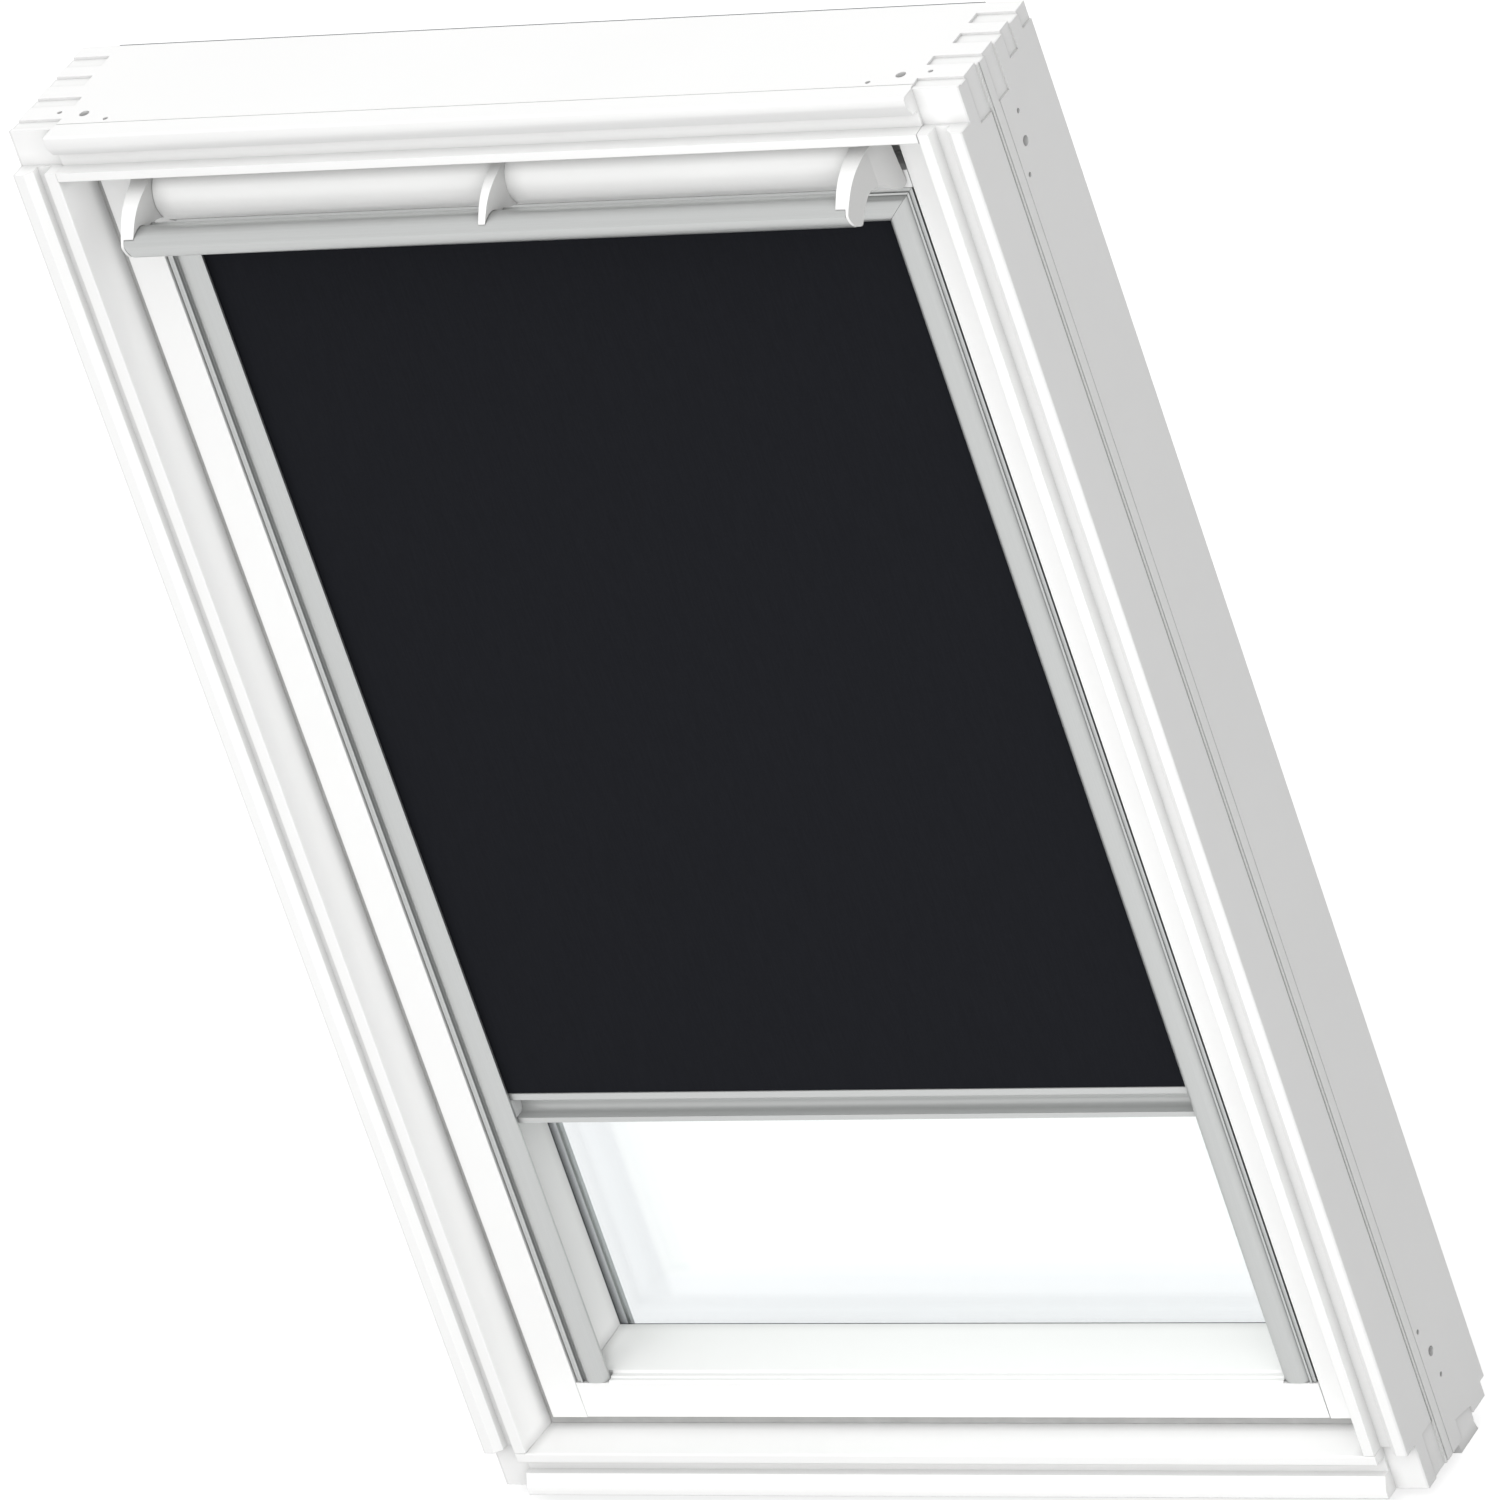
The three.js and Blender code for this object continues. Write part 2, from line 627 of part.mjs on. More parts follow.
// Outside covers of the frame: a flat strip with a lip turned into the opening
function sideCover() {
  const back = FRAME_D + JOINT;
  const lipOut = SIDE_BACK_T + JOINT;
  const corners = [
    [lipOut - COVER_OUT_W, back],
    [lipOut, back],
    [lipOut, back - COVER_LIP],
    [lipOut + COVER_T, back - COVER_LIP],
    [lipOut + COVER_T, back + COVER_T],
    [lipOut - COVER_OUT_W, back + COVER_T],
  ];
  const shape = outline(corners.map(([thick, depth]) => [X_SIDE - thick, yAt(depth)]));
  return alongZ(shape, SILL_MID_T + COVER_OUT_W, FRAME_H - TOP_BACK_T - COVER_T - JOINT * 2);
}

function topCover() {
  const back = FRAME_D + JOINT;
  const lipOut = TOP_BACK_T + JOINT;
  const corners = [
    [JOINT, back],
    [lipOut, back],
    [lipOut, back - COVER_LIP],
    [lipOut + COVER_T, back - COVER_LIP],
    [lipOut + COVER_T, back + COVER_T],
    [JOINT, back + COVER_T],
  ];
  const shape = outline(corners.map(([thick, depth]) => [yAt(depth), FRAME_H - thick]));
  const half = X_SIDE - SIDE_BACK_T - JOINT;
  return alongX(shape, -half, half);
}

function sillCover() {
  const slope = (SILL_MID_T - SILL_NOSE_T) / (SILL_D - SILL_STEP);
  const start = SILL_STEP + COVER_LIP;
  const startT = SILL_MID_T - slope * COVER_LIP + JOINT;
  const endT = SILL_NOSE_T - slope * JOINT + JOINT;
  const corners = [
    [startT, start],
    [endT, SILL_D + JOINT],
    [0, SILL_D + JOINT],
    [0, SILL_D + JOINT + COVER_T],
    [endT + COVER_T, SILL_D + JOINT + COVER_T],
    [startT + COVER_T, start],
  ];
  const shape = outline(corners.map(([thick, depth]) => [yAt(depth), thick]));
  const half = X_SIDE - SIDE_DEEP_T - JOINT;
  return alongX(shape, -half, half);
}

// Sash members

// Inner faces move towards the middle by grow, which leaves the joint's gap when this cuts a cross member
function sashSideOutline(grow) {
  const corners = [
    [-grow, -grow],
    [RAIL_W + grow, -grow, grow === 0 ? RAIL_ROUND : 0],
    [RAIL_W + grow, REBATE_D - grow],
    [STEP_W + grow, REBATE_D - grow],
    [SIGHT_W + grow, SEAT_D + grow],
    [GLASS_EDGE_W + grow, SEAT_D + grow],
    [GLASS_EDGE_W + grow, SASH_D + grow],
    [-grow, SASH_D + grow],
  ];
  return outline(corners.map(([thick, depth, radius]) => [SASH_HALF - thick, yAt(SASH_SET + depth), radius]));
}

function sashSide() {
  const side = alongZ(sashSideOutline(0), SASH_LOW, SASH_HIGH);
  return cut(side, [pivotMortise()]);
}

function sashEndCutters() {
  const grown = alongZ(sashSideOutline(JOINT), SASH_LOW - OVERRUN, SASH_HIGH + OVERRUN);
  return [grown, mirrored(grown)];
}

function sashBottom() {
  const bead = BOTTOM_FACE + BEAD_RISE;
  const corners = [
    [0, 0, RAIL_ROUND],
    [0, SASH_D],
    [BOTTOM_GLASS_EDGE, SASH_D],
    [BOTTOM_GLASS_EDGE, SEAT_D],
    [BOTTOM_SIGHT_W, SEAT_D],
    [BOTTOM_STEP_W, BOTTOM_STEP_D],
    [BOTTOM_FACE + BEAD_TOP, BOTTOM_STEP_D - BEAD_STEP / 2],
    [BOTTOM_FACE + BEAD_TOP, BEAD_DEEP + BEAD_STEP * 3 / 2],
    [bead, BEAD_DEEP + BEAD_STEP],
    [bead, BEAD_DEEP],
    [BOTTOM_FACE, 0],
  ];
  const shape = outline(corners.map(([thick, depth, radius]) => [yAt(SASH_SET + depth), SASH_LOW + thick, radius]));
  const foot = block(CHANNEL_IN - JOINT, CHANNEL_OUT + OVERRUN, yAt(0), yAt(SASH_SET + BOTTOM_STEP_D),
    SASH_LOW + BOTTOM_FACE, FRAME_H);
  return cut(alongX(shape, -SASH_HALF + JOINT, SASH_HALF - JOINT), [...sashEndCutters(), foot, mirrored(foot)]);
}

function sashTop() {
  const corners = [
    [TOP_RAIL_LOW, 0],
    [TOP_RAIL_HIGH, 0],
    [TOP_RAIL_HIGH, FLAP_RECESS_D],
    [0, FLAP_RECESS_D],
    [0, SASH_D],
    [TOP_GLASS_EDGE, SASH_D],
    [TOP_GLASS_EDGE, SEAT_D],
    [TOP_SIGHT_W, SEAT_D],
    [TOP_SIGHT_W, SEAT_D - TOP_SEAT_T],
    [TOP_CAVITY_W, SEAT_D - TOP_SEAT_T],
    [TOP_CAVITY_W, TOP_RAIL_D],
    [TOP_RAIL_LOW, TOP_RAIL_D],
  ];
  const shape = outline(corners.map(([thick, depth]) => [yAt(SASH_SET + depth), SASH_HIGH - thick]));
  const depth = STEP_DEPTH + LOCK_SET;
  const mortise = block(-LOCK_HALF - JOINT, LOCK_HALF + JOINT, yAt(depth - JOINT), yAt(depth + LOCK_D + JOINT),
    SASH_HIGH - LOCK_H - JOINT, SASH_HIGH + OVERRUN);
  return cut(alongX(shape, -SASH_HALF + JOINT, SASH_HALF - JOINT), [...sashEndCutters(), mortise]);
}

// A shallow case with a slot for the tongue, let into the top edge of the sash
function lockCase() {
  const y0 = yAt(STEP_DEPTH + LOCK_SET);
  const y1 = y0 + LOCK_D;
  const body = block(-LOCK_HALF, LOCK_HALF, y0, y1, SASH_HIGH - LOCK_H, SASH_HIGH);
  const middle = (y0 + y1) / 2;
  const slot = block(-LOCK_HALF / 2, LOCK_HALF / 2, middle - LOCK_SLOT / 2, middle + LOCK_SLOT / 2,
    SASH_HIGH - LOCK_H + LOCK_WALL, SASH_HIGH + OVERRUN);
  return body.subtract(slot);
}

function strike() {
  const y0 = yAt(STEP_DEPTH + LOCK_SET);
  const top = FRAME_H - TOP_MID_T - JOINT;
  const plate = block(-STRIKE_HALF, STRIKE_HALF, y0, y0 + LOCK_D, top - STRIKE_T, top);
  const middle = y0 + LOCK_D / 2;
  const slot = block(-LOCK_HALF / 2, LOCK_HALF / 2, middle - LOCK_SLOT / 2, middle + LOCK_SLOT / 2,
    top - STRIKE_T * 2, top + STRIKE_T);
  return plate.subtract(slot);
}

// Glazing

function pane(depth) {
  return block(-PANE_HALF, PANE_HALF, yAt(depth), yAt(depth + PANE_T), PANE_LOW, PANE_HIGH);
}

function spacer() {
  const outer = [PANE_HALF - JOINT * 2, PANE_LOW + JOINT * 2, PANE_HIGH - JOINT * 2];
  const inner = [PANE_HALF - SPACER_SIDE_W, PANE_LOW + SPACER_END_W, PANE_HIGH - SPACER_END_W];
  return ringY(outer, inner, yAt(CAVITY_Y), yAt(PANE_OUT_Y));
}

function innerSeal() {
  const half = SASH_HALF - SIGHT_W;
  const low = SASH_LOW + BOTTOM_SIGHT_W;
  const high = SASH_HIGH - TOP_SIGHT_W;
  return ringY([half + SEAL_W, low - SEAL_W, high + SEAL_W], [half, low, high], yAt(SEAT_Y), yAt(SEAT_Y + SEAL_T));
}

function outerSeal() {
  const half = PANE_HALF - SPACER_SIDE_W;
  const low = PANE_LOW + COVER_BOTTOM_LAP - JOINT;
  const high = PANE_HIGH - SPACER_END_W;
  const outer = [PANE_HALF, PANE_LOW, PANE_HIGH];
  return ringY(outer, [half, low, high], yAt(GLASS_BACK_Y), yAt(GLASS_BACK_Y + SEAL_T));
}

// Outside covers of the sash, each clamps the glass along one edge
function sashSideCover() {
  const base = SASH_SET + SASH_D + JOINT;
  const lap = GLASS_BACK_Y + SEAL_T + RUN_GAP / 5;
  const corners = [
    [0, base],
    [GLASS_EDGE_W, base],
    [GLASS_EDGE_W, lap],
    [GLASS_EDGE_W + COVER_LAP, lap],
    [GLASS_EDGE_W + COVER_LAP, glassCoverDepth(), COVER_BEVEL / 4],
    [COVER_BEVEL, glassCoverDepth(), COVER_BEVEL / 4],
    [0, glassCoverDepth() - COVER_BEVEL],
  ];
  const shape = outline(corners.map(([thick, depth, radius]) => [SASH_HALF - thick, yAt(depth), radius]));
  return alongZ(shape, SASH_LOW, SASH_HIGH);
}

function sashEndCover(edge, direction, glassEdge, lapLength) {
  const base = SASH_SET + SASH_D + JOINT;
  const lap = GLASS_BACK_Y + SEAL_T + RUN_GAP / 5;
  const top = lap + COVER_END_RISE;
  const corners = [
    [0, base],
    [glassEdge, base],
    [glassEdge, lap],
    [glassEdge + PANE_EDGE_GAP + lapLength, lap],
    [glassEdge + PANE_EDGE_GAP + lapLength, top],
    [COVER_BEVEL, top],
    [0, base + COVER_BEVEL],
  ];
  const shape = outline(corners.map(([thick, depth]) => [yAt(depth), edge + direction * thick]));
  const half = SASH_HALF - GLASS_EDGE_W - COVER_LAP - JOINT;
  return alongX(shape, -half, half);
}

// Pivot hinges: a bored plate on the frame and a plate with a pin on the sash

function pivotMortise() {
  const y = yAt(PIVOT_DEPTH);
  const half = PIVOT_PLATE_W / 2 + JOINT;
  return block(SASH_HALF - PIVOT_SASH_T - JOINT, SASH_HALF + OVERRUN, y - half, y + half,
    PIVOT_Z - PIVOT_PLATE_H / 2 - JOINT, PIVOT_Z + PIVOT_PLATE_H / 2 + JOINT);
}

function pivotSashPlate() {
  const y = yAt(PIVOT_DEPTH);
  const half = PIVOT_PLATE_W / 2;
  const plate = block(SASH_HALF - PIVOT_SASH_T, SASH_HALF, y - half, y + half, PIVOT_Z - PIVOT_PLATE_H / 2,
    PIVOT_Z + PIVOT_PLATE_H / 2);
  const pinEnd = X_SIDE - SIDE_DEEP_T - JOINT * 2;
  return plate.add(rodX(y, PIVOT_Z, PIVOT_R, SASH_HALF - PIVOT_SASH_T / 2, pinEnd));
}

function pivotFramePlate() {
  const y = yAt(PIVOT_DEPTH);
  const half = PIVOT_PLATE_W / 2;
  const outer = X_SIDE - SIDE_DEEP_T - JOINT;
  const plate = block(outer - PIVOT_FRAME_T, outer, y - half, y + half, PIVOT_Z - PIVOT_PLATE_H / 2,
    PIVOT_Z + PIVOT_PLATE_H / 2);
  const bore = rodX(y, PIVOT_Z, PIVOT_R + PIN_GAP, outer - PIVOT_FRAME_T * 2, outer + PIVOT_FRAME_T);
  return plate.subtract(bore);
}

// Control bar, arms and vent hood, all on one axis at the foot of the arms

function hoodCentre() {
  return [yAt(HOOD_D), SASH_HIGH - HOOD_DROP];
}

function hood() {
  const [y, z] = hoodCentre();
  const railTop = SASH_HIGH - TOP_RAIL_HIGH + HOOD_STEP_OVER;
  const outer = arc(y, z, HOOD_R, HOOD_TOP_DEG, HOOD_LOW_DEG, 20);
  const inner = arc(y, z, HOOD_R - HOOD_WALL, HOOD_LOW_DEG - 7, HOOD_TOP_DEG + 5, 14);
  const back = yAt(HOOD_BACK);
  const foot = yAt(HOOD_FOOT_BACK);
  const shape = outline([
    ...outer,
    [foot, outer[outer.length - 1][1]],
    [foot, railTop],
    [back, railTop],
    [back, outer[0][1]],
  ], [[
    ...inner,
    [back - HOOD_WALL, inner[inner.length - 1][1]],
    [back - HOOD_WALL, railTop + HOOD_WALL],
    [foot - HOOD_WALL, railTop + HOOD_WALL],
    [foot - HOOD_WALL, inner[0][1]],
  ]]);
  return alongX(shape, -HOOD_HALF, HOOD_HALF);
}

// A smooth line through a table of shares
function smooth(table, spanSteps) {
  const curve = new THREE.SplineCurve(table.map(([u, v]) => new THREE.Vector2(u, v)));
  return curve.getPoints((table.length - 1) * spanSteps).map(({ x, y }) => [x, y]);
}

// Side view of an arm, from its top at the hood past the bar's end to the round foot on the axis
function armOutline() {
  const front = yAt(-ARM_FRONT);
  const high = SASH_HIGH + HOOD_STEP_OVER;
  const low = high - ARM_RISE;
  return outline([
    [yAt(ARM_TOP_BACK), high],
    ...smooth(ARM_SHARES, ARM_SPAN_STEPS).map(([across, up]) => [front + ARM_REACH * across, low + ARM_RISE * up]),
    ...arc(yAt(FLAP_AXIS_D), FLAP_AXIS_Z, ARM_FOOT_R, 215, 360, 7),
  ]);
}

// The outer face flares gently from the bar's end, then bends out to the foot; a pocket there takes the lug
function armEnd() {
  const front = yAt(-ARM_FRONT);
  const bend = yAt(ARM_BEND_BACK);
  const back = yAt(HOOD_BACK);
  const plan = outline([
    [ARM_FRONT_OUT - ARM_FRONT_W, front - OVERRUN],
    [ARM_FRONT_OUT, front - OVERRUN],
    [ARM_FRONT_OUT, front],
    [ARM_FRONT_OUT + (bend - front) * ARM_FLARE_SHARE, bend],
    [ARM_FRONT_OUT + ARM_FOOT_OUT, back],
    [ARM_INNER, back],
    [ARM_INNER, yAt(0)],
    [ARM_FRONT_OUT - ARM_FRONT_W, front],
  ]);
  const flare = alongZ(plan, PIVOT_Z, FRAME_H + OVERRUN);
  const blank = alongX(armOutline(), ARM_INNER, SASH_HALF - RAIL_W);
  const axisY = yAt(FLAP_AXIS_D);
  const from = ARM_INNER + LUG_IN - JOINT;
  const to = ARM_INNER + LUG_IN + LUG_T + JOINT;
  const room = LUG_R + RUN_GAP;
  const behind = block(from, to, axisY, back, FLAP_AXIS_Z - OVERRUN, FLAP_AXIS_Z + room);
  const pocket = rodX(axisY, FLAP_AXIS_Z, room, from, to).add(behind);
  const pin = rodX(axisY, FLAP_AXIS_Z, FLAP_PIN_R, from - ARM_SKIN, to + ARM_SKIN);
  return cut(blank.intersect(flare), [barSeat(), pocket]).add(pin);
}

// Web from the bar up to the hood, a little off the middle
function armMid() {
  const front = yAt(-ARM_FRONT);
  const high = SASH_HIGH + HOOD_STEP_OVER;
  const low = high - ARM_RISE;
  const upper = smooth(ARM_SHARES, ARM_SPAN_STEPS).filter(([, up]) => up > ARM_MID_LAST_SHARE);
  const [hoodY, hoodZ] = hoodCentre();
  const barTop = SASH_HIGH - BAR_TOP_DROP;
  const blank = alongX(outline([
    [hoodY, high],
    ...upper.map(([across, up]) => [front + ARM_REACH * across, low + ARM_RISE * up]),
    [yAt(-BAR_FRONT) + BAR_DEPTH / 2, low + ARM_RISE * ARM_MID_LAST_SHARE],
    [yAt(-BAR_FRONT) + BAR_DEPTH, barTop - BAR_H / 3],
    ...arc(hoodY, hoodZ, HOOD_R, 225, 270, 3),
  ]), -ARM_MID_BACK_W, ARM_MID_BACK_W);
  const plan = outline([
    [ARM_MID_OFF - ARM_MID_FRONT_W / 2, front],
    [ARM_MID_OFF + ARM_MID_FRONT_W / 2, front],
    [ARM_MID_OFF + ARM_MID_BACK_W / 2, hoodY],
    [ARM_MID_OFF - ARM_MID_BACK_W / 2, hoodY],
  ]);
  const flare = alongZ(plan, PIVOT_Z, FRAME_H + OVERRUN);
  const hoodRod = rodX(hoodY, hoodZ, HOOD_R + JOINT, -X_SIDE, X_SIDE);
  return blank.intersect(flare).subtract(barSeat()).subtract(hoodRod);
}

// Place of a pair of shares in the control bar's section
function inBar([back, up]) {
  return [yAt(-BAR_FRONT) + BAR_DEPTH * back, SASH_HIGH - BAR_TOP_DROP - BAR_H * (1 - up)];
}

// Control bar with a rounded grip in front and a low ridge behind
function controlBar() {
  const half = ARM_FRONT_OUT - ARM_SKIN - JOINT;
  return alongX(outline([...BAR_TOP_SHARES, ...BAR_UNDER_SHARES].map(inBar)), -half, half);
}

// The bar's seat in the arms: its upper side grown by the joint's gap, and open below
function barSeat() {
  const half = ARM_FRONT_OUT - ARM_SKIN;
  const front = BAR_TOP_SHARES[1][0];
  const back = BAR_TOP_SHARES[BAR_TOP_SHARES.length - 1][0];
  const bar = alongX(outline([...BAR_TOP_SHARES, [back, -1], [front, -1]].map(inBar)), -half, half);
  return joined(circle(0, 0, JOINT, 8).map(([y, z]) => bar.translate([0, y, z])));
}

// Ear on the sash's top rail with a bore that carries the arm's pin; its leg stays slim below, where the arm turns
function flapLug() {
  const axisY = yAt(FLAP_AXIS_D);
  const from = ARM_INNER + LUG_IN;
  const back = yAt(SASH_SET) - JOINT;
  const ear = rodX(axisY, FLAP_AXIS_Z, LUG_R, from, from + LUG_T);
  const leg = block(from, from + LUG_T, axisY, back, FLAP_AXIS_Z - LUG_R / 2, FLAP_AXIS_Z + LUG_R);
  const bore = rodX(axisY, FLAP_AXIS_Z, FLAP_PIN_R + PIN_GAP, from - LUG_T, from + LUG_T * 2);
  return ear.add(leg).subtract(bore);
}

// Blind

// Front contour shared by the channels and the casing: [distance from the outer edge, depth from the sash face]
function blindFront() {
  const arcStart = CHANNEL_FLANGE_W + CHANNEL_GROOVE_T / 2;
  const arcRun = CHANNEL_W - arcStart;
  const points = [
    [0, CHANNEL_FLANGE_SET],
    [CHANNEL_FLANGE_W - CHANNEL_BEAD_W, CHANNEL_FLANGE_SET],
    [CHANNEL_FLANGE_W - CHANNEL_BEAD_W, CHANNEL_FLANGE_SET - CHANNEL_BEAD_T],
    [CHANNEL_FLANGE_W, CHANNEL_FLANGE_SET - CHANNEL_BEAD_T],
    [CHANNEL_FLANGE_W, CHANNEL_GROOVE_T],
  ];
  for (let step = 0; step <= CHANNEL_CROWN_STEPS; step += 1) {
    const share = (1 - Math.cos(Math.PI * step / CHANNEL_CROWN_STEPS)) / 2;
    const chord = CHANNEL_GROOVE_T + (CHANNEL_EDGE_SET - CHANNEL_GROOVE_T) * share;
    const rise = CHANNEL_CROWN * (1 - Math.abs(2 * share - 1) ** CHANNEL_CROWN_POWER);
    points.push([arcStart + arcRun * share, chord - rise]);
  }
  return points;
}

// Everything on the outer side of the mitre and above the channel's foot, or on the mitre's inner side
function mitreKeep(ofChannel) {
  const corner = [CASING_TOP, CHANNEL_OUT];
  const reach = CHANNEL_W + OVERRUN;
  const shift = ofChannel ? 0 : JOINT;
  const inner = [corner[0] - reach + shift, corner[1] - reach];
  const outer = [corner[0] + OVERRUN + shift, corner[1] + OVERRUN];
  const foot = SASH_LOW + BOTTOM_FACE + JOINT;
  const past = corner[0] - CHANNEL_W;
  const shape = ofChannel
    ? outline([
      [foot, CHANNEL_OUT],
      [foot, CHANNEL_IN],
      [past, CHANNEL_IN],
      corner,
    ])
    : outline([outer, inner, [inner[0], 0], [outer[0], 0]]);
  return alongY(shape, yAt(0), yAt(FRAME_D));
}

function channel() {
  const wallBack = CHANNEL_EDGE_SET + CHANNEL_WALL;
  const slotEnd = CHANNEL_W - CHANNEL_SLOT_W;
  const slotBack = wallBack + CHANNEL_SLOT_D;
  const corners = [
    ...blindFront(),
    [CHANNEL_W, wallBack],
    [slotEnd, wallBack],
    [slotEnd, slotBack],
    [slotEnd - CHANNEL_WALL, slotBack],
    [slotEnd - CHANNEL_WALL, REBATE_D - JOINT],
    [0, REBATE_D - JOINT],
  ];
  const place = ([across, depth]) => [CHANNEL_OUT - across, yAt(SASH_SET + depth)];
  const chamberLow = CHANNEL_GROOVE_T + CHANNEL_CHAMBER_WALL;
  const chamberHigh = REBATE_D - JOINT - CHANNEL_CHAMBER_WALL;
  const chamber = [
    [CHANNEL_CHAMBER_WALL, chamberLow],
    [slotEnd - CHANNEL_WALL * 2, chamberLow],
    [slotEnd - CHANNEL_WALL * 2, chamberHigh],
    [CHANNEL_CHAMBER_WALL, chamberHigh],
  ];
  const shape = outline(corners.map(place), [chamber.map(place)]);
  const whole = alongZ(shape, SASH_LOW, CASING_TOP);
  const behindCasing = block(0, FRAME_W, yAt(SASH_SET + CASING_BACK), yAt(FRAME_D), CASING_TOP - CHANNEL_W, FRAME_H);
  return cut(whole.intersect(mitreKeep(true)), [channelFootSlope(), behindCasing]);
}

// The slope of the bottom member behind its bead, raised by the joint's gap to cope the channels' webs
function channelFootSlope() {
  const shape = outline([
    [yAt(SASH_SET + BOTTOM_STEP_D) - JOINT, SASH_LOW],
    [yAt(SASH_SET + SEAT_D), SASH_LOW],
    [yAt(SASH_SET + SEAT_D), SASH_LOW + BOTTOM_SIGHT_W + JOINT],
    [yAt(SASH_SET + BOTTOM_STEP_D) - JOINT, SASH_LOW + BOTTOM_STEP_W + JOINT],
  ]);
  return alongX(shape, -X_SIDE, X_SIDE);
}

function casing() {
  const corners = [
    ...blindFront(),
    [CHANNEL_W, CHANNEL_EDGE_SET + CHANNEL_WALL],
    [CHANNEL_FLANGE_W * 2, CASING_BACK],
    [0, CASING_BACK],
  ];
  const shape = outline(corners.map(([down, depth]) => [yAt(SASH_SET + depth), CASING_TOP - down]));
  const keep = mitreKeep(false);
  return alongX(shape, -CHANNEL_OUT, CHANNEL_OUT).intersect(keep.add(mirrored(keep)));
}

// Open-fronted housing behind the casing, bent round the roller
function housing() {
  const top = SASH_HIGH - TOP_CAVITY_W - RUN_GAP;
  const low = CASING_TOP - CHANNEL_W + CHANNEL_WALL;
  const front = SASH_SET + HOUSING_FRONT;
  const back = SASH_SET + HOUSING_BACK;
  const corners = [
    [front, top - HOUSING_LIP],
    [front, top],
    [back, top],
    [back, low],
    [front + HOUSING_WALL * 2, low],
    [front + HOUSING_WALL * 2, low + HOUSING_WALL],
    [back - HOUSING_WALL, low + HOUSING_WALL],
    [back - HOUSING_WALL, top - HOUSING_WALL],
    [front + HOUSING_WALL, top - HOUSING_WALL],
    [front + HOUSING_WALL, top - HOUSING_LIP],
  ];
  const half = CAP_HALF - CAP_T - JOINT;
  return alongX(outline(corners.map(([depth, z]) => [yAt(depth), z])), -half, half);
}

function housingCap() {
  const top = SASH_HIGH - TOP_CAVITY_W - RUN_GAP;
  const low = CASING_TOP - CHANNEL_W + CHANNEL_WALL;
  const front = yAt(SASH_SET + CASING_BACK + JOINT);
  const railBack = yAt(SASH_SET + TOP_RAIL_D + RUN_GAP);
  const back = yAt(SASH_SET + HOUSING_BACK);
  const plate = alongX(outline([
    [front, low],
    [back, low],
    [back, top],
    [railBack, top],
    [railBack, CASING_TOP],
    [front, CASING_TOP],
  ]), CAP_HALF - CAP_T, CAP_HALF);
  const bore = rodX(yAt(SASH_SET + ROLLER_D), ROLLER_Z, AXLE_R + PIN_GAP, CAP_HALF - CAP_T * 2, CAP_HALF + CAP_T);
  return plate.subtract(bore);
}

function rollerTube() {
  const y = yAt(SASH_SET + ROLLER_D);
  return rodX(y, ROLLER_Z, TUBE_R, -CLOTH_HALF, CLOTH_HALF)
    .subtract(rodX(y, ROLLER_Z, TUBE_R - TUBE_WALL, -FRAME_W, FRAME_W));
}

// Plug in the tube's end with the axle that turns in the cap
function rollerPlug() {
  const y = yAt(SASH_SET + ROLLER_D);
  const body = rodX(y, ROLLER_Z, TUBE_R - TUBE_WALL - JOINT, CLOTH_HALF - PLUG_L, CLOTH_HALF + JOINT);
  return body.add(rodX(y, ROLLER_Z, AXLE_R, CLOTH_HALF, CAP_HALF - JOINT));
}

function clothRoll() {
  const y = yAt(SASH_SET + ROLLER_D);
  return rodX(y, ROLLER_Z, ROLL_R, -CLOTH_HALF + RUN_GAP, CLOTH_HALF - RUN_GAP)
    .subtract(rodX(y, ROLLER_Z, TUBE_R + JOINT, -FRAME_W, FRAME_W));
}

// The cloth's short run from the roll down to the casing's lower edge
function clothLead() {
  const y = yAt(SASH_SET + ROLLER_D) - ROLL_R - JOINT;
  const line = yAt(SASH_SET + CLOTH_SET);
  const low = clothTop() + JOINT;
  const shape = outline([
    [line, low],
    [line + CLOTH_T, low],
    [y, ROLLER_Z],
    [y - CLOTH_T, ROLLER_Z],
  ]);
  return alongX(shape, -CLOTH_HALF, CLOTH_HALF);
}

function clothTop() {
  return CASING_TOP - CHANNEL_W + CHANNEL_WALL;
}

function cloth() {
  const y = yAt(SASH_SET + CLOTH_SET);
  return block(-CLOTH_HALF, CLOTH_HALF, y, y + CLOTH_T, BAR_REST + BAR_HEIGHT - CLOTH_SLOT_DEEP + JOINT, clothTop());
}

function bottomBar() {
  const y = yAt(SASH_SET + BAR_SET);
  const ceiling = BAR_REST + BAR_HEIGHT - BAR_LIP_H;
  const shape = outline([
    [y, BAR_REST],
    [y + BAR_THICK, BAR_REST],
    [y + BAR_THICK, BAR_REST + BAR_HEIGHT],
    [y, BAR_REST + BAR_HEIGHT, BAR_WALL / 4],
    [y, ceiling, BAR_WALL / 4],
    [y + BAR_THICK - BAR_WALL, ceiling],
    [y + BAR_THICK - BAR_WALL, BAR_REST + BAR_FLOOR_H, BAR_CURVE],
    [y, BAR_REST + BAR_FLOOR_H],
  ]);
  const clothY = yAt(SASH_SET + CLOTH_SET) + CLOTH_T / 2;
  const slot = block(-FRAME_W, FRAME_W, clothY - CLOTH_SLOT / 2, clothY + CLOTH_SLOT / 2,
    BAR_REST + BAR_HEIGHT - CLOTH_SLOT_DEEP, FRAME_H);
  return alongX(shape, -BAR_HALF, BAR_HALF).subtract(slot);
}

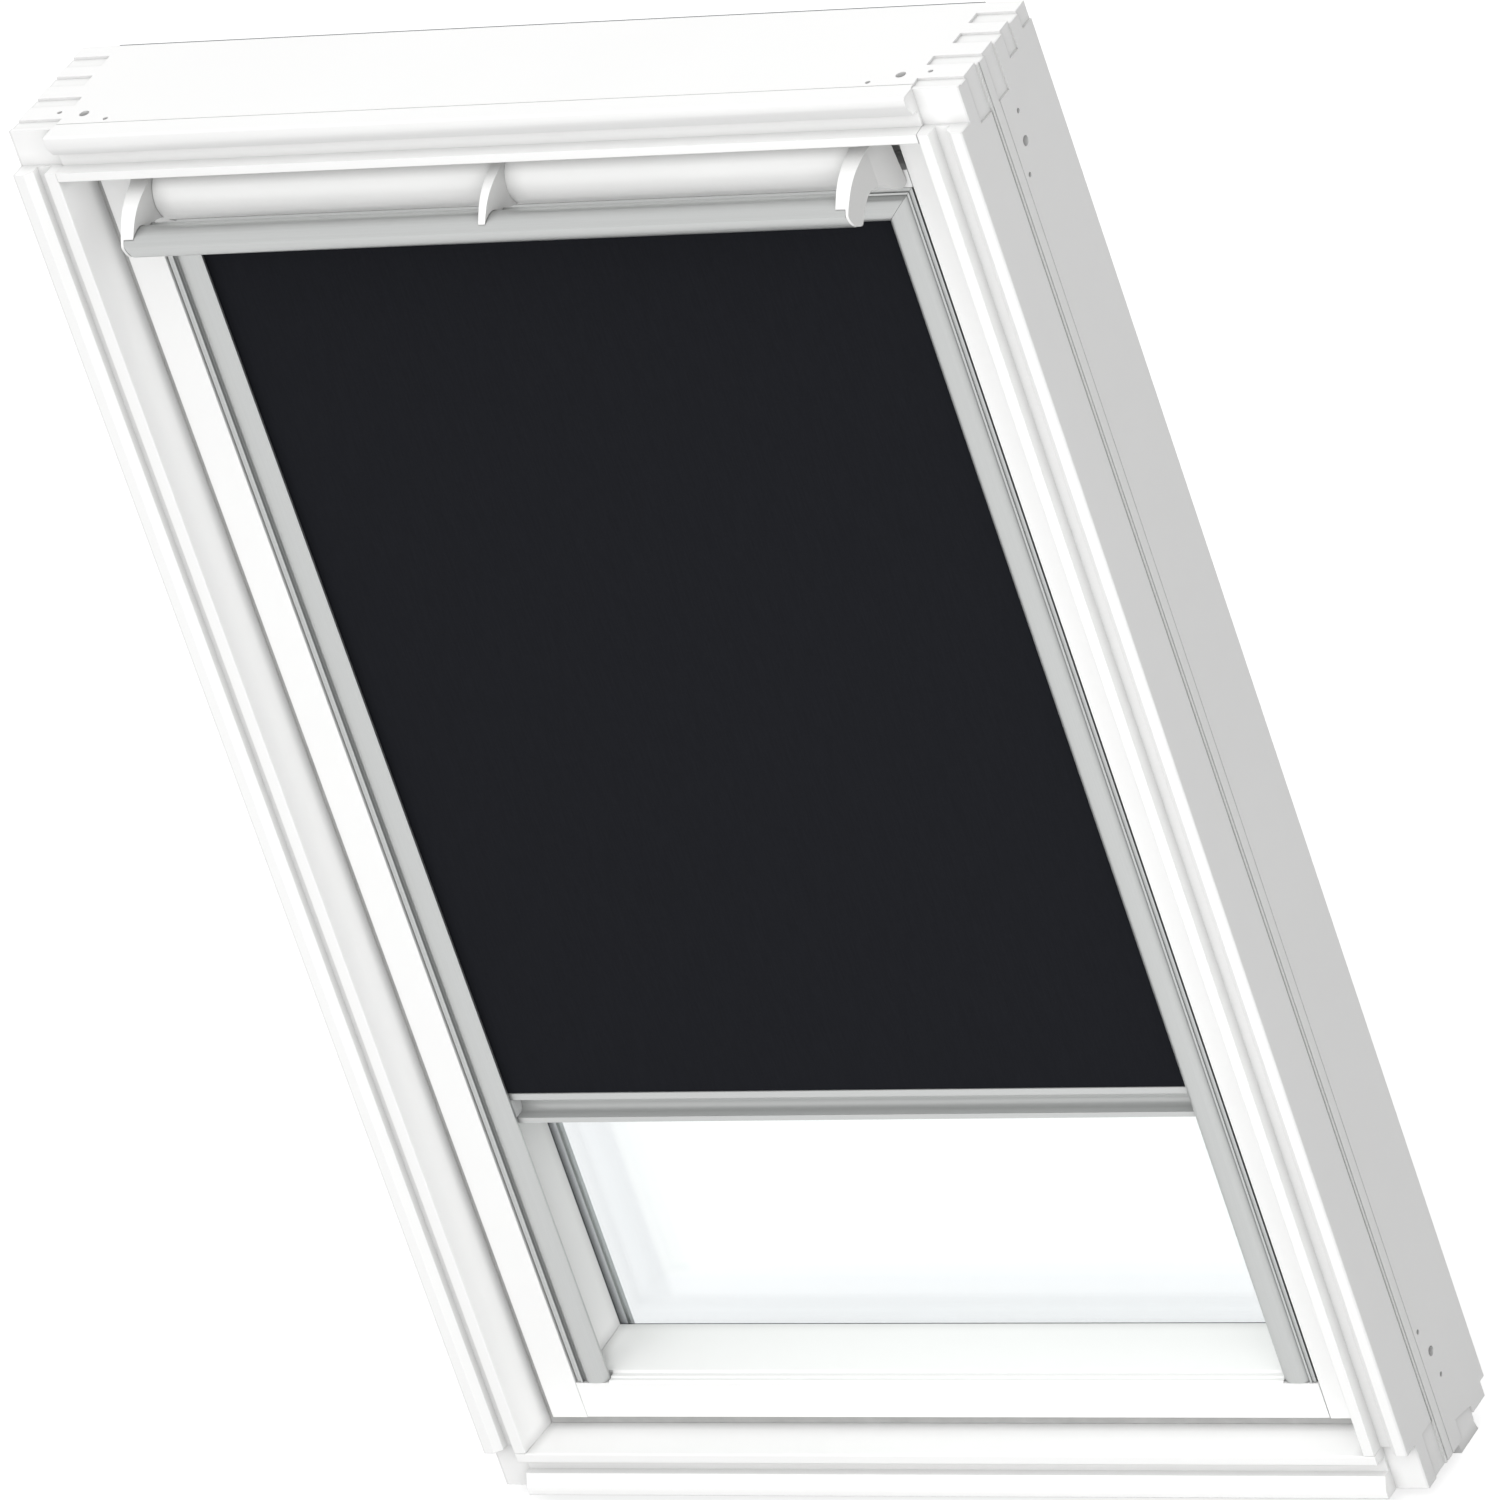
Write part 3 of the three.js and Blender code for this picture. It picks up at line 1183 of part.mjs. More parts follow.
// End piece that closes the bar and runs against the channel's web
function barSlider() {
  const y = yAt(SASH_SET + BAR_SET) + BAR_WALL / 4;
  const low = BAR_REST + BAR_WALL / 4;
  const high = BAR_REST + BAR_HEIGHT - BAR_LIP_H / 2;
  return block(BAR_HALF + JOINT, CHANNEL_WEB - JOINT, y, y + BAR_THICK, low, high);
}

function pair(name, solid, finish) {
  return [piece(`${name}_left`, mirrored(solid), finish), piece(`${name}_right`, solid, finish)];
}

const frame = new THREE.Group();
frame.add(
  ...pair('frame_side', frameSide(), 'paint'),
  piece('frame_top', frameTop(), 'paint'),
  piece('frame_sill', frameSill(), 'paint'),
  piece('frame_seal', frameSeal(), 'greyRubber'),
  ...pair('frame_cover', sideCover(), 'cladding'),
  piece('frame_cover_top', topCover(), 'cladding'),
  piece('frame_cover_sill', sillCover(), 'cladding'),
  ...pair('pivot_socket', pivotFramePlate(), 'steel'),
  piece('lock_strike', strike(), 'steel'),
);

const sash = new THREE.Group();
sash.add(
  ...pair('sash_side', sashSide(), 'paint'),
  piece('sash_top', sashTop(), 'paint'),
  piece('sash_bottom', sashBottom(), 'paint'),
  piece('seal_inner', innerSeal(), 'rubber'),
  piece('pane_inner', pane(PANE_IN_Y), 'glass'),
  piece('pane_spacer', spacer(), 'greyPlastic'),
  piece('pane_outer', pane(PANE_OUT_Y), 'glass'),
  piece('seal_outer', outerSeal(), 'rubber'),
  ...pair('sash_cover', sashSideCover(), 'cladding'),
  piece('sash_cover_top', sashEndCover(SASH_HIGH, -1, TOP_GLASS_EDGE, COVER_BOTTOM_LAP), 'cladding'),
  piece('sash_cover_bottom', sashEndCover(SASH_LOW, 1, BOTTOM_GLASS_EDGE, COVER_BOTTOM_LAP), 'cladding'),
  ...pair('pivot_pin', pivotSashPlate(), 'steel'),
  ...pair('flap_lug', flapLug(), 'plastic'),
  piece('lock_case', lockCase(), 'steel'),
);

const flap = new THREE.Group();
flap.add(
  piece('vent_hood', hood(), 'plastic'),
  piece('control_bar', controlBar(), 'silver'),
  ...pair('bar_arm', armEnd(), 'plastic'),
  piece('bar_arm_middle', armMid(), 'plastic'),
);

const blind = new THREE.Group();
blind.add(
  ...pair('blind_channel', channel(), 'silver'),
  piece('blind_casing', casing(), 'silver'),
  piece('blind_housing', housing(), 'silver'),
  ...pair('housing_cap', housingCap(), 'greyPlastic'),
  piece('roller_tube', rollerTube(), 'silver'),
  ...pair('roller_plug', rollerPlug(), 'greyPlastic'),
  piece('cloth_roll', clothRoll(), 'cloth'),
  piece('cloth_lead', clothLead(), 'cloth'),
  piece('cloth', cloth(), 'cloth'),
  piece('bottom_bar', bottomBar(), 'silver'),
  ...pair('bar_slider', barSlider(), 'darkSilver'),
);

const roofWindow = new THREE.Group();
roofWindow.add(frame, sash, flap, blind);

export default roofWindow;
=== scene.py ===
"""Looks of a centre-pivot roof window with a roller blind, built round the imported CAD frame. Metres, row frame."""
import math

import bmesh
import bpy
from mathutils import Matrix, Vector


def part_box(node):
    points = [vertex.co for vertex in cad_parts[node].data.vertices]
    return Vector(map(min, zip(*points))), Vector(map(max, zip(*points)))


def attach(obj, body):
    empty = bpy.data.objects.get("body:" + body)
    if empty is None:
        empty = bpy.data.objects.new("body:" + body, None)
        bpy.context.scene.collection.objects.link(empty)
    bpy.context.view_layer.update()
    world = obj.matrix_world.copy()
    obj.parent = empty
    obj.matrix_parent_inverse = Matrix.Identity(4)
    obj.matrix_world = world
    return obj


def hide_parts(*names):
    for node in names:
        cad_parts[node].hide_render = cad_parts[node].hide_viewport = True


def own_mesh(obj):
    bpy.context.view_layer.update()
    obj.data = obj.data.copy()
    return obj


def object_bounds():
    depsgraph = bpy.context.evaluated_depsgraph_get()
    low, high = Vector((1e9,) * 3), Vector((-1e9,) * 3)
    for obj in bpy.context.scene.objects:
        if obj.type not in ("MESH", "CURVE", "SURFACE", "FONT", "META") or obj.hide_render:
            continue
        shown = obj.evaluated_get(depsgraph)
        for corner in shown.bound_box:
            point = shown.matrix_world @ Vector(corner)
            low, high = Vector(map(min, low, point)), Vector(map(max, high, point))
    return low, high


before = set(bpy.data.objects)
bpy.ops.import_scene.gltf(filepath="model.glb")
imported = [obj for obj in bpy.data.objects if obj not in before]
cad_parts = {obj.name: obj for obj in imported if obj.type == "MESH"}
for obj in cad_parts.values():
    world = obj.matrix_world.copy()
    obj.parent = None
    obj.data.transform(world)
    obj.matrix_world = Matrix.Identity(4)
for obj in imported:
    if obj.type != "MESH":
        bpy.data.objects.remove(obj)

CAD_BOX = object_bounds()
MM = 0.001
X, Z = 0, 2

# Camera: its place, its axes, and its lens and sensor in millimetres
EYE = (5.95286, -8.40902, 5.95075)
EYE_RIGHT = (0.85837, 0.42038, -0.29407)
EYE_UP = (0.01965, 0.54586, 0.83765)
EYE_BACK = (0.51265, -0.72479, 0.46029)
LENS = 388.67
SENSOR = 36.0
CLIP = (0.1, 100.0)

# Light: each glow has an azimuth and an elevation in degrees, and a strength
SKY_GLOWS = [
    (315, 8, 1.93), (225, 8, 0.85), (135, 8, 0.9), (120, 48, 1.12), (300, 48, 0.68), (240, 48, 0.58), (0, 90, 0.42),
]
GLOW_POWER = 4.0
SOFTBOXES = {
    "side": {"at": (1.7, -1.0, 2.0), "aim": (0.39, 0, 0.9), "watts": 2.0},
    "near": {"at": (0.3, -0.9, 0.6), "aim": (-0.35, 0, 0.6), "watts": 3.0},
}
SOFTBOX_SIZE = (0.9, 1.2)
SEEN_RAYS = ("Is Camera Ray", "Is Glossy Ray", "Is Transmission Ray")
FLOOR_GREY = 0.36
FLOOR_GLOW = 0.76
FLOOR_REACH = 30.0

# Colours, and how much of the white is left where shade is painted on the outer sides, the lips' slopes and the
# arms' sides
LACQUER_WHITE = (0.93, 0.93, 0.925)
PLASTIC_WHITE = (0.92, 0.92, 0.912)
SILVER = (0.56, 0.57, 0.565)
BARE_METAL = (0.6, 0.61, 0.62)
DARK_COAT = (0.16, 0.17, 0.18)
CLEAR_GLASS = (0.98, 0.995, 0.99)
# Cool painted reflection along the rim of the glass
PAINTED_RIM_REFLECTION = (0.957, 0.969, 0.976)
OUTER_SIDE_SHADE = 0.9
LIP_SLOPE_SHADE = 0.8
ARM_FLANK_SHADE = 0.7

# Glass
PANE_LOW, PANE_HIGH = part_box("pane_inner")
PANE_MIDDLE = (PANE_LOW.z + PANE_HIGH.z) / 2
# Width and fade of the band where the reflection is painted on the glass
RIM_REFLECTION_BAND = 68 * MM
RIM_REFLECTION_FADE = 4 * MM

# Shading of the CAD nodes
WELD = 0.005 * MM
SHARP_EDGE = math.radians(32)

# Cloth
SHEET_T = 0.15 * MM
SHEET_GAP = 0.05 * MM
SHEET_COLUMNS = 24
SHEET_ROWS = 30
LEAD_T = 0.3 * MM
LEAD_ROWS = 6
ROLL_PITCH = 0.42 * MM
ROLL_GAP = 0.06 * MM
ROLL_STEPS = 28


# Materials

def rgba(colour):
    return (*colour, 1)


class Nodes:
    """A node tree with short ways to add nodes and link them."""

    def __init__(self, tree):
        self.tree = tree

    def put(self, value, socket):
        """Links a socket to another one, or sets it to a number, vector or colour."""
        if isinstance(value, bpy.types.NodeSocket):
            self.tree.links.new(value, socket)
        else:
            socket.default_value = value

    def node(self, kind, **inputs):
        made = self.tree.nodes.new(kind)
        for name, value in inputs.items():
            self.put(value, made.inputs[name])
        return made

    def math(self, operation, *values):
        made = self.node("ShaderNodeMath")
        made.operation = operation
        for value, socket in zip(values, made.inputs):
            self.put(value, socket)
        return made.outputs[0]

    def any_ray(self, first, *others):
        """1 for a ray of one of these kinds, else 0."""
        rays = self.node("ShaderNodeLightPath")
        found = rays.outputs[first]
        for kind in others:
            found = self.math("MAXIMUM", found, rays.outputs[kind])
        return found

    def mixed(self, factor, first, second, output):
        """Mixes two shader nodes into the surface of the output node."""
        mix = self.node("ShaderNodeMixShader")
        for value, socket in zip((factor, first.outputs[0], second.outputs[0]), mix.inputs):
            self.put(value, socket)
        self.put(mix.outputs[0], self.tree.nodes[output].inputs["Surface"])


class Surface(Nodes):
    """A principled material with short ways to add noise, colour and bump in object space."""

    def __init__(self, name, colour, roughness, metallic=0.0):
        self.material = bpy.data.materials.new(name)
        self.material.use_nodes = True
        super().__init__(self.material.node_tree)
        self.shader = self.tree.nodes["Principled BSDF"]
        self.shader.inputs["Base Color"].default_value = rgba(colour)
        self.shader.inputs["Roughness"].default_value = roughness
        self.shader.inputs["Metallic"].default_value = metallic
        self.colour = colour
        coords = self.node("ShaderNodeTexCoord")
        self.place, self.facing = coords.outputs["Object"], coords.outputs["Normal"]
        self.normal = None

    def soft_edges(self, radius):
        """Rounds the look of sharp edges. It comes before any bump."""
        made = self.node("ShaderNodeBevel", Radius=radius)
        made.samples = 6
        self.normal = made.outputs["Normal"]
        self.put(self.normal, self.shader.inputs["Normal"])

    def part(self, axis, vector=None):
        """One coordinate of the place in the part, or of another vector."""
        return self.node("ShaderNodeSeparateXYZ", Vector=vector or self.place).outputs[axis]

    def past_middle(self, axis, middle, half):
        """How far a point lies outside a band round the middle, on either side."""
        off = self.math("SUBTRACT", self.part(axis), middle)
        return self.math("SUBTRACT", self.math("ABSOLUTE", off), half)

    def noise(self, scale, detail=2.0, stretch=None):
        """Noise at one scale, or at a scale of its own for each axis."""
        place = self.place
        if stretch:
            place = self.node("ShaderNodeMapping", Vector=place, Scale=stretch).outputs["Vector"]
        return self.node("ShaderNodeTexNoise", Vector=place, Scale=scale, Detail=detail).outputs["Fac"]

    def ranged(self, value, low, high, start=0.3, end=0.7):
        """Goes from low to high while value goes from start to end."""
        made = self.node("ShaderNodeMapRange", Value=value)
        for name, number in (("From Min", start), ("From Max", end), ("To Min", low), ("To Max", high)):
            made.inputs[name].default_value = number
        return made.outputs["Result"]

    def colour_mix(self, factor, first, second, blend="MIX"):
        """Sends a mix of two colours to the shader."""
        mix = self.node("ShaderNodeMix")
        mix.data_type = "RGBA"
        mix.blend_type = blend
        for name, value in (("Factor", factor), ("A", first), ("B", second)):
            self.put(value, mix.inputs[name])
        self.put(mix.outputs["Result"], self.shader.inputs["Base Color"])

    def colour_so_far(self):
        return self.shader.inputs["Base Color"].links[0].from_socket

    def tint(self, value, shade):
        """Colour varies between shade times the base colour and the base colour, after value."""
        darker = tuple(c * shade for c in self.colour)
        self.colour_mix(self.ranged(value, 0, 1), rgba(darker), rgba(self.colour))

    def shade(self, value):
        """Multiplies the colour so far by value."""
        self.colour_mix(1.0, self.colour_so_far(), value, "MULTIPLY")

    def painted_hollow_shade(self, reach, low):
        """Painted shade: darkens grooves and inner corners a little, the more closed in they are."""
        made = self.node("ShaderNodeAmbientOcclusion", Distance=reach)
        made.samples = 8
        self.shade(self.ranged(made.outputs["AO"], low, 1.0, start=0.25, end=1.0))

    def rough(self, value, low, high):
        self.put(self.ranged(value, low, high), self.shader.inputs["Roughness"])

    def bump(self, height, depth, strength):
        made = self.node("ShaderNodeBump", Height=height, Distance=depth, Strength=strength)
        if self.normal:
            self.put(self.normal, made.inputs["Normal"])
        self.normal = made.outputs["Normal"]
        self.put(self.normal, self.shader.inputs["Normal"])


def lacquer(name, along):
    """White lacquer on timber: faint grain along the member, fine orange peel, and painted shade in grooves, on the
    outer sides and on the lips' slopes.
    """
    surface = Surface(name, LACQUER_WHITE, 0.4)
    surface.shader.inputs["Coat Weight"].default_value = 0.12
    surface.shader.inputs["Coat Roughness"].default_value = 0.25
    surface.soft_edges(0.6 * MM)
    stretch = [240.0] * 3
    stretch[along] = 5.0
    grain = surface.noise(1.0, detail=3.0, stretch=stretch)
    surface.tint(surface.noise(5.0), 0.985)
    # Painted shade in grooves and inner corners
    surface.painted_hollow_shade(10 * MM, 0.66)
    # Painted shade on the slopes of the lips that look both down and to the room
    oblique = surface.math("MULTIPLY", surface.part("Z", surface.facing), surface.part("Y", surface.facing))
    surface.shade(surface.ranged(oblique, 1.0, LIP_SLOPE_SHADE, start=0.25, end=0.45))
    # Painted shade on the outer sides and the last 2 mm before them
    past = surface.past_middle("X", 0.0, CAD_BOX[1].x - 2 * MM)
    surface.shade(surface.ranged(past, 1.0, OUTER_SIDE_SHADE, start=0.0, end=0.8 * MM))
    surface.rough(surface.noise(70.0), 0.36, 0.46)
    surface.bump(grain, 0.05 * MM, 0.5)
    surface.bump(surface.noise(620.0, detail=1.0), 0.05 * MM, 0.35)
    return surface


def extrusion(name, along, colour, low, high, metallic=0.85):
    """Satin anodised extrusion with fine draw lines along its length."""
    surface = Surface(name, colour, low, metallic)
    stretch = [1500.0] * 3
    stretch[along] = 2.5
    lines = surface.noise(1.0, detail=4.0, stretch=stretch)
    surface.tint(lines, 0.94)
    # Painted shade in grooves and inner corners
    surface.painted_hollow_shade(9 * MM, 0.6)
    surface.rough(lines, low, high)
    surface.bump(lines, 0.02 * MM, 0.5)
    surface.bump(surface.noise(1800.0, detail=1.0), 0.012 * MM, 0.4)
    return surface


def moulded(name, colour, low, high, grain=900.0, depth=0.03 * MM, hollow_shade=None, flank_shade=None):
    """Injection moulded plastic with a fine spark-eroded texture, and where given, painted shade in grooves and
    inner corners and on the faces that look to the sides.
    """
    surface = Surface(name, colour, low)
    surface.soft_edges(0.4 * MM)
    surface.tint(surface.noise(9.0), 0.98)
    # Painted shade in grooves and inner corners
    if hollow_shade:
        surface.painted_hollow_shade(*hollow_shade)
    # Painted shade on the faces that look to the sides
    if flank_shade:
        side = surface.math("ABSOLUTE", surface.part("X", surface.facing))
        surface.shade(surface.ranged(side, 1.0, flank_shade, start=0.75, end=0.9))
    surface.rough(surface.noise(120.0), low, high)
    surface.bump(surface.noise(grain), depth, 0.5)
    return surface


def rubber(name, colour):
    """Matt extruded rubber with a fine dusty bloom."""
    surface = Surface(name, colour, 0.7)
    surface.shader.inputs["Specular IOR Level"].default_value = 0.3
    surface.tint(surface.noise(60.0), 0.85)
    surface.rough(surface.noise(200.0), 0.62, 0.82)
    surface.bump(surface.noise(1300.0), 0.05 * MM, 0.6)
    return surface


def zinc(name):
    """Zinc plated steel with soft spangle."""
    surface = Surface(name, BARE_METAL, 0.35, 0.95)
    cells = surface.node("ShaderNodeTexVoronoi", Vector=surface.place, Scale=260.0)
    surface.tint(cells.outputs["Distance"], 0.86)
    surface.rough(surface.noise(400.0), 0.28, 0.45)
    surface.bump(surface.noise(900.0), 0.02 * MM, 0.5)
    return surface


def coated_metal(name, colour):
    """Matt powder-coated aluminium for the outside."""
    surface = Surface(name, colour, 0.5, 0.25)
    surface.tint(surface.noise(14.0), 0.93)
    surface.rough(surface.noise(90.0), 0.46, 0.6)
    surface.bump(surface.noise(1100.0), 0.05 * MM, 0.6)
    return surface


def sash_cladding(name, colour, bare):
    """The sash's outside covers: coated outside, bare aluminium on the faces that meet or surround the glass."""
    surface = coated_metal(name, colour)
    # Below zero on a face that looks towards the middle of the glass
    inward = None
    for axis, middle in (("X", 0.0), ("Z", PANE_MIDDLE)):
        off = surface.math("SUBTRACT", surface.part(axis), middle)
        along = surface.math("MULTIPLY", off, surface.part(axis, surface.facing))
        inward = surface.math("ADD", inward, along) if inward else along
    around = surface.ranged(inward, 1.0, 0.0, start=-0.1, end=-0.04)
    room_side = surface.ranged(surface.part("Y", surface.facing), 1.0, 0.0, start=-0.7, end=-0.5)
    surface.colour_mix(surface.math("MAXIMUM", around, room_side), surface.colour_so_far(), rgba(bare))
    return surface


def spacer_bar(name):
    """Spacer between the panes: aluminium, dark at the room side from its dark seal and from painted shade, fading
    to plain aluminium outside.
    """
    low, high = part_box("pane_spacer")
    depth = high.y - low.y
    surface = Surface(name, (0.6, 0.605, 0.62), 0.42, 0.5)
    surface.tint(surface.noise(1.0, detail=3.0, stretch=(900.0, 900.0, 900.0)), 0.95)
    # Painted shade with the dark seal: darkest at the room side, fading to plain aluminium outside
    lit = surface.ranged(surface.part("Y"), 0.22, 1.0, start=low.y + 0.15 * depth, end=high.y - 0.1 * depth)
    surface.shade(surface.math("POWER", lit, 2.2))
    surface.rough(surface.noise(300.0), 0.36, 0.5)
    surface.bump(surface.noise(900.0), 0.02 * MM, 0.4)
    return surface


def glass(name):
    """Clear glass, with a painted cool reflection along its rim. Shadow and diffuse rays pass straight through."""
    surface = Surface(name, CLEAR_GLASS, 0.0)
    past = surface.math("MAXIMUM", surface.past_middle("X", 0.0, (PANE_HIGH.x - PANE_LOW.x) / 2),
                        surface.past_middle("Z", PANE_MIDDLE, (PANE_HIGH.z - PANE_LOW.z) / 2))
    rim = surface.ranged(past, 0.0, 1.0, start=-RIM_REFLECTION_BAND, end=-RIM_REFLECTION_BAND + RIM_REFLECTION_FADE)
    surface.colour_mix(rim, rgba(CLEAR_GLASS), rgba(PAINTED_RIM_REFLECTION))
    surface.shader.inputs["Transmission Weight"].default_value = 1.0
    surface.shader.inputs["IOR"].default_value = 1.45
    surface.rough(surface.noise(30.0), 0.0, 0.012)
    passing = surface.node("ShaderNodeBsdfTransparent", Color=(0.95, 0.97, 0.96, 1))
    surface.mixed(surface.any_ray("Is Shadow Ray", "Is Diffuse Ray"), surface.shader, passing, "Material Output")
    return surface


def woven(name, colour, sheen):
    """Plain weave of fine yarn, 0.45 mm pitch, with slubs and slight slack."""
    surface = Surface(name, colour, 0.85)
    surface.shader.inputs["Specular IOR Level"].default_value = 0.04
    surface.shader.inputs["Sheen Weight"].default_value = sheen
    surface.shader.inputs["Sheen Roughness"].default_value = 0.6
    waves = []
    for axis in ("X", "Z"):
        wave = surface.node("ShaderNodeTexWave", Vector=surface.place, Scale=350.0, Distortion=0.6, Detail=1.0)
        wave.bands_direction = axis
        waves.append(wave.outputs["Fac"])
    surface.tint(surface.noise(1.0, detail=3.0, stretch=(900.0, 900.0, 60.0)), 0.86)
    surface.rough(surface.noise(500.0), 0.8, 0.95)
    surface.bump(surface.noise(1.0, detail=1.0, stretch=(9.0, 9.0, 1.5)), 0.5 * MM, 0.3)
    surface.bump(surface.math("MULTIPLY", *waves), 0.08 * MM, 0.6)
    return surface


def floor_surface():
    """Pale floor: the camera sees it near white, and it still takes the object's shadow."""
    surface = Surface("floor_paint", (FLOOR_GREY,) * 3, 0.9)
    surface.shader.inputs["Specular IOR Level"].default_value = 0.0
    surface.bump(surface.noise(40.0), 0.1 * MM, 0.1)
    glow = surface.node("ShaderNodeEmission", Color=(1, 1, 1, 1), Strength=FLOOR_GLOW)
    both = surface.node("ShaderNodeAddShader")
    surface.put(surface.shader.outputs[0], both.inputs[0])
    surface.put(glow.outputs[0], both.inputs[1])
    surface.mixed(surface.any_ray(*SEEN_RAYS), surface.shader, both, "Material Output")
    return surface


looks = {
    "paint_x": lacquer("lacquer_across", X),
    "paint_z": lacquer("lacquer_upright", Z),
    "silver_x": extrusion("anodised_across", X, (0.54, 0.55, 0.545), 0.3, 0.42),
    "bar_x": extrusion("bar_anodised", X, (0.57, 0.58, 0.575), 0.3, 0.42, metallic=0.8),
    "bright_x": extrusion("bright_across", X, SILVER, 0.34, 0.46, metallic=0.4),
    "silver_z": extrusion("anodised_upright", Z, SILVER, 0.34, 0.46),
    "plastic": moulded("white_plastic", PLASTIC_WHITE, 0.3, 0.4, hollow_shade=(16 * MM, 0.65)),
    "arm_plastic": moulded("arm_plastic", PLASTIC_WHITE, 0.3, 0.4, hollow_shade=(20 * MM, 0.65), flank_shade=ARM_FLANK_SHADE),
    "grey_plastic": moulded("grey_plastic", (0.5, 0.51, 0.51), 0.45, 0.58),
    "silver_plastic": moulded("silver_plastic", (0.56, 0.57, 0.57), 0.34, 0.46),
    "rubber": rubber("black_rubber", (0.045, 0.045, 0.048)),
    "grey_rubber": rubber("grey_rubber", (0.46, 0.46, 0.455)),
    "glass": glass("clear_glass"),
    "steel": zinc("zinc_plate"),
    "cladding": coated_metal("grey_cladding", DARK_COAT),
    "sash_cladding": sash_cladding("sash_cladding", DARK_COAT, BARE_METAL),
    "spacer": spacer_bar("spacer_bar"),
    "cloth": woven("blackout_cloth", (0.0125, 0.0133, 0.0165), 0.005),
    "coating": moulded("cloth_coating", (0.5, 0.51, 0.52), 0.4, 0.55, grain=1600.0, depth=0.04 * MM),
}

worn_by = {
    "paint_x": ["frame_top", "frame_sill", "sash_top", "sash_bottom"],
    "paint_z": ["frame_side_left", "frame_side_right", "sash_side_left", "sash_side_right"],
    "silver_x": ["blind_casing", "blind_housing", "roller_tube"],
    "bar_x": ["control_bar"],
    "bright_x": ["bottom_bar"],
    "silver_z": ["blind_channel_left", "blind_channel_right"],
    "plastic": ["flap_lug_left", "flap_lug_right", "vent_hood"],
    "arm_plastic": ["bar_arm_left", "bar_arm_right", "bar_arm_middle"],
    "grey_plastic": ["housing_cap_left", "housing_cap_right", "roller_plug_left", "roller_plug_right"],
    "silver_plastic": ["bar_slider_left", "bar_slider_right"],
    "rubber": ["seal_inner"],
    "grey_rubber": ["frame_seal", "seal_outer"],
    "glass": ["pane_inner", "pane_outer"],
    "steel": ["pivot_socket_left", "pivot_socket_right", "pivot_pin_left", "pivot_pin_right", "lock_case",
              "lock_strike"],
    "cladding": ["frame_cover_left", "frame_cover_right", "frame_cover_top", "frame_cover_sill"],
    "sash_cladding": ["sash_cover_left", "sash_cover_right", "sash_cover_top", "sash_cover_bottom"],
    "spacer": ["pane_spacer"],
    "cloth": ["cloth", "cloth_lead", "cloth_roll"],
}


def dress(name, look):
    """Gives a CAD node its material, and by modifiers smooth shading between its sharp edges."""
    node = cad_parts[name]
    node.data.materials.clear()
    node.data.materials.append(looks[look].material)
    node.data.polygons.foreach_set("use_smooth", [True] * len(node.data.polygons))
    node.modifiers.new("weld", "WELD").merge_threshold = WELD
    node.modifiers.new("edges", "EDGE_SPLIT").split_angle = SHARP_EDGE
    node.modifiers.new("shading", "WEIGHTED_NORMAL").weight = 50


for look_name, node_names in worn_by.items():
    for node_name in node_names:
        dress(node_name, look_name)


# Pieces in mesh code

def mesh_piece(name, verts, faces, surfaces):
    data = bpy.data.meshes.new(name)
    data.from_pydata(verts, [], faces)
    data.update()
    for surface in surfaces:
        data.materials.append(surface.material)
    made = bpy.data.objects.new(name, data)
    bpy.context.scene.collection.objects.link(made)
    return made


def swept_x(name, section, x0, x1, columns, surfaces):
    """A closed section in (y, z) drawn out along X in equal columns."""
    count = len(section)
    verts = []
    for column in range(columns + 1):
        x = x0 + (x1 - x0) * column / columns
        verts += [(x, y, z) for y, z in section]
    faces = [tuple(reversed(range(count))), tuple(columns * count + i for i in range(count))]
    for column in range(columns):
        low = column * count
        for i in range(count):
            j = (i + 1) % count
            faces.append((low + i, low + j, low + count + j, low + count + i))
    made = mesh_piece(name, verts, faces, surfaces)
    work = bmesh.new()
    work.from_mesh(made.data)
    bmesh.ops.recalc_face_normals(work, faces=work.faces)
    work.to_mesh(made.data)
    work.free()
    return made


cloth_low, cloth_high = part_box("cloth")
lead_low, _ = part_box("cloth_lead")
roll_low, roll_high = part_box("cloth_roll")
roll_y, roll_z = (roll_low.y + roll_high.y) / 2, (roll_low.z + roll_high.z) / 2


def cloth_sheet(name, top, bottom, thick, rows):
    """A thin flat sheet between two points in (y, z), cloth on the room side and coating behind."""
    (ya, za), (yb, zb) = top, bottom
    room_side = [(ya + (yb - ya) * k / rows, za + (zb - za) * k / rows) for k in range(rows)] + [bottom]
    section = room_side + [(y + thick, z) for y, z in reversed(room_side)]
    made = swept_x(name, section, cloth_low.x, cloth_high.x, SHEET_COLUMNS, [looks["cloth"], looks["coating"]])
    for face in made.data.polygons:
        face.material_index = 1 if face.normal.y > 0.5 else 0
    return made


upper_y = cloth_low.y
upper = cloth_sheet("blind_cloth", (upper_y, cloth_high.z), (upper_y, cloth_low.z), SHEET_T, SHEET_ROWS)
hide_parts("cloth")
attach(upper, "sash")
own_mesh(upper)

lower_y = upper_y + SHEET_T + SHEET_GAP
lower = cloth_sheet("blind_cloth_lower", (lower_y, cloth_high.z), (lower_y, cloth_low.z), SHEET_T, SHEET_ROWS)
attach(lower, "blind_bar")
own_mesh(lower)

# From the top of the blind's run to the front of the roll
lead = cloth_sheet("blind_cloth_lead", (lead_low.y + 0.1 * MM, cloth_high.z + 0.05 * MM),
                   (roll_low.y - 0.4 * MM, roll_z), LEAD_T, LEAD_ROWS)
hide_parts("cloth_lead")
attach(lead, "sash")


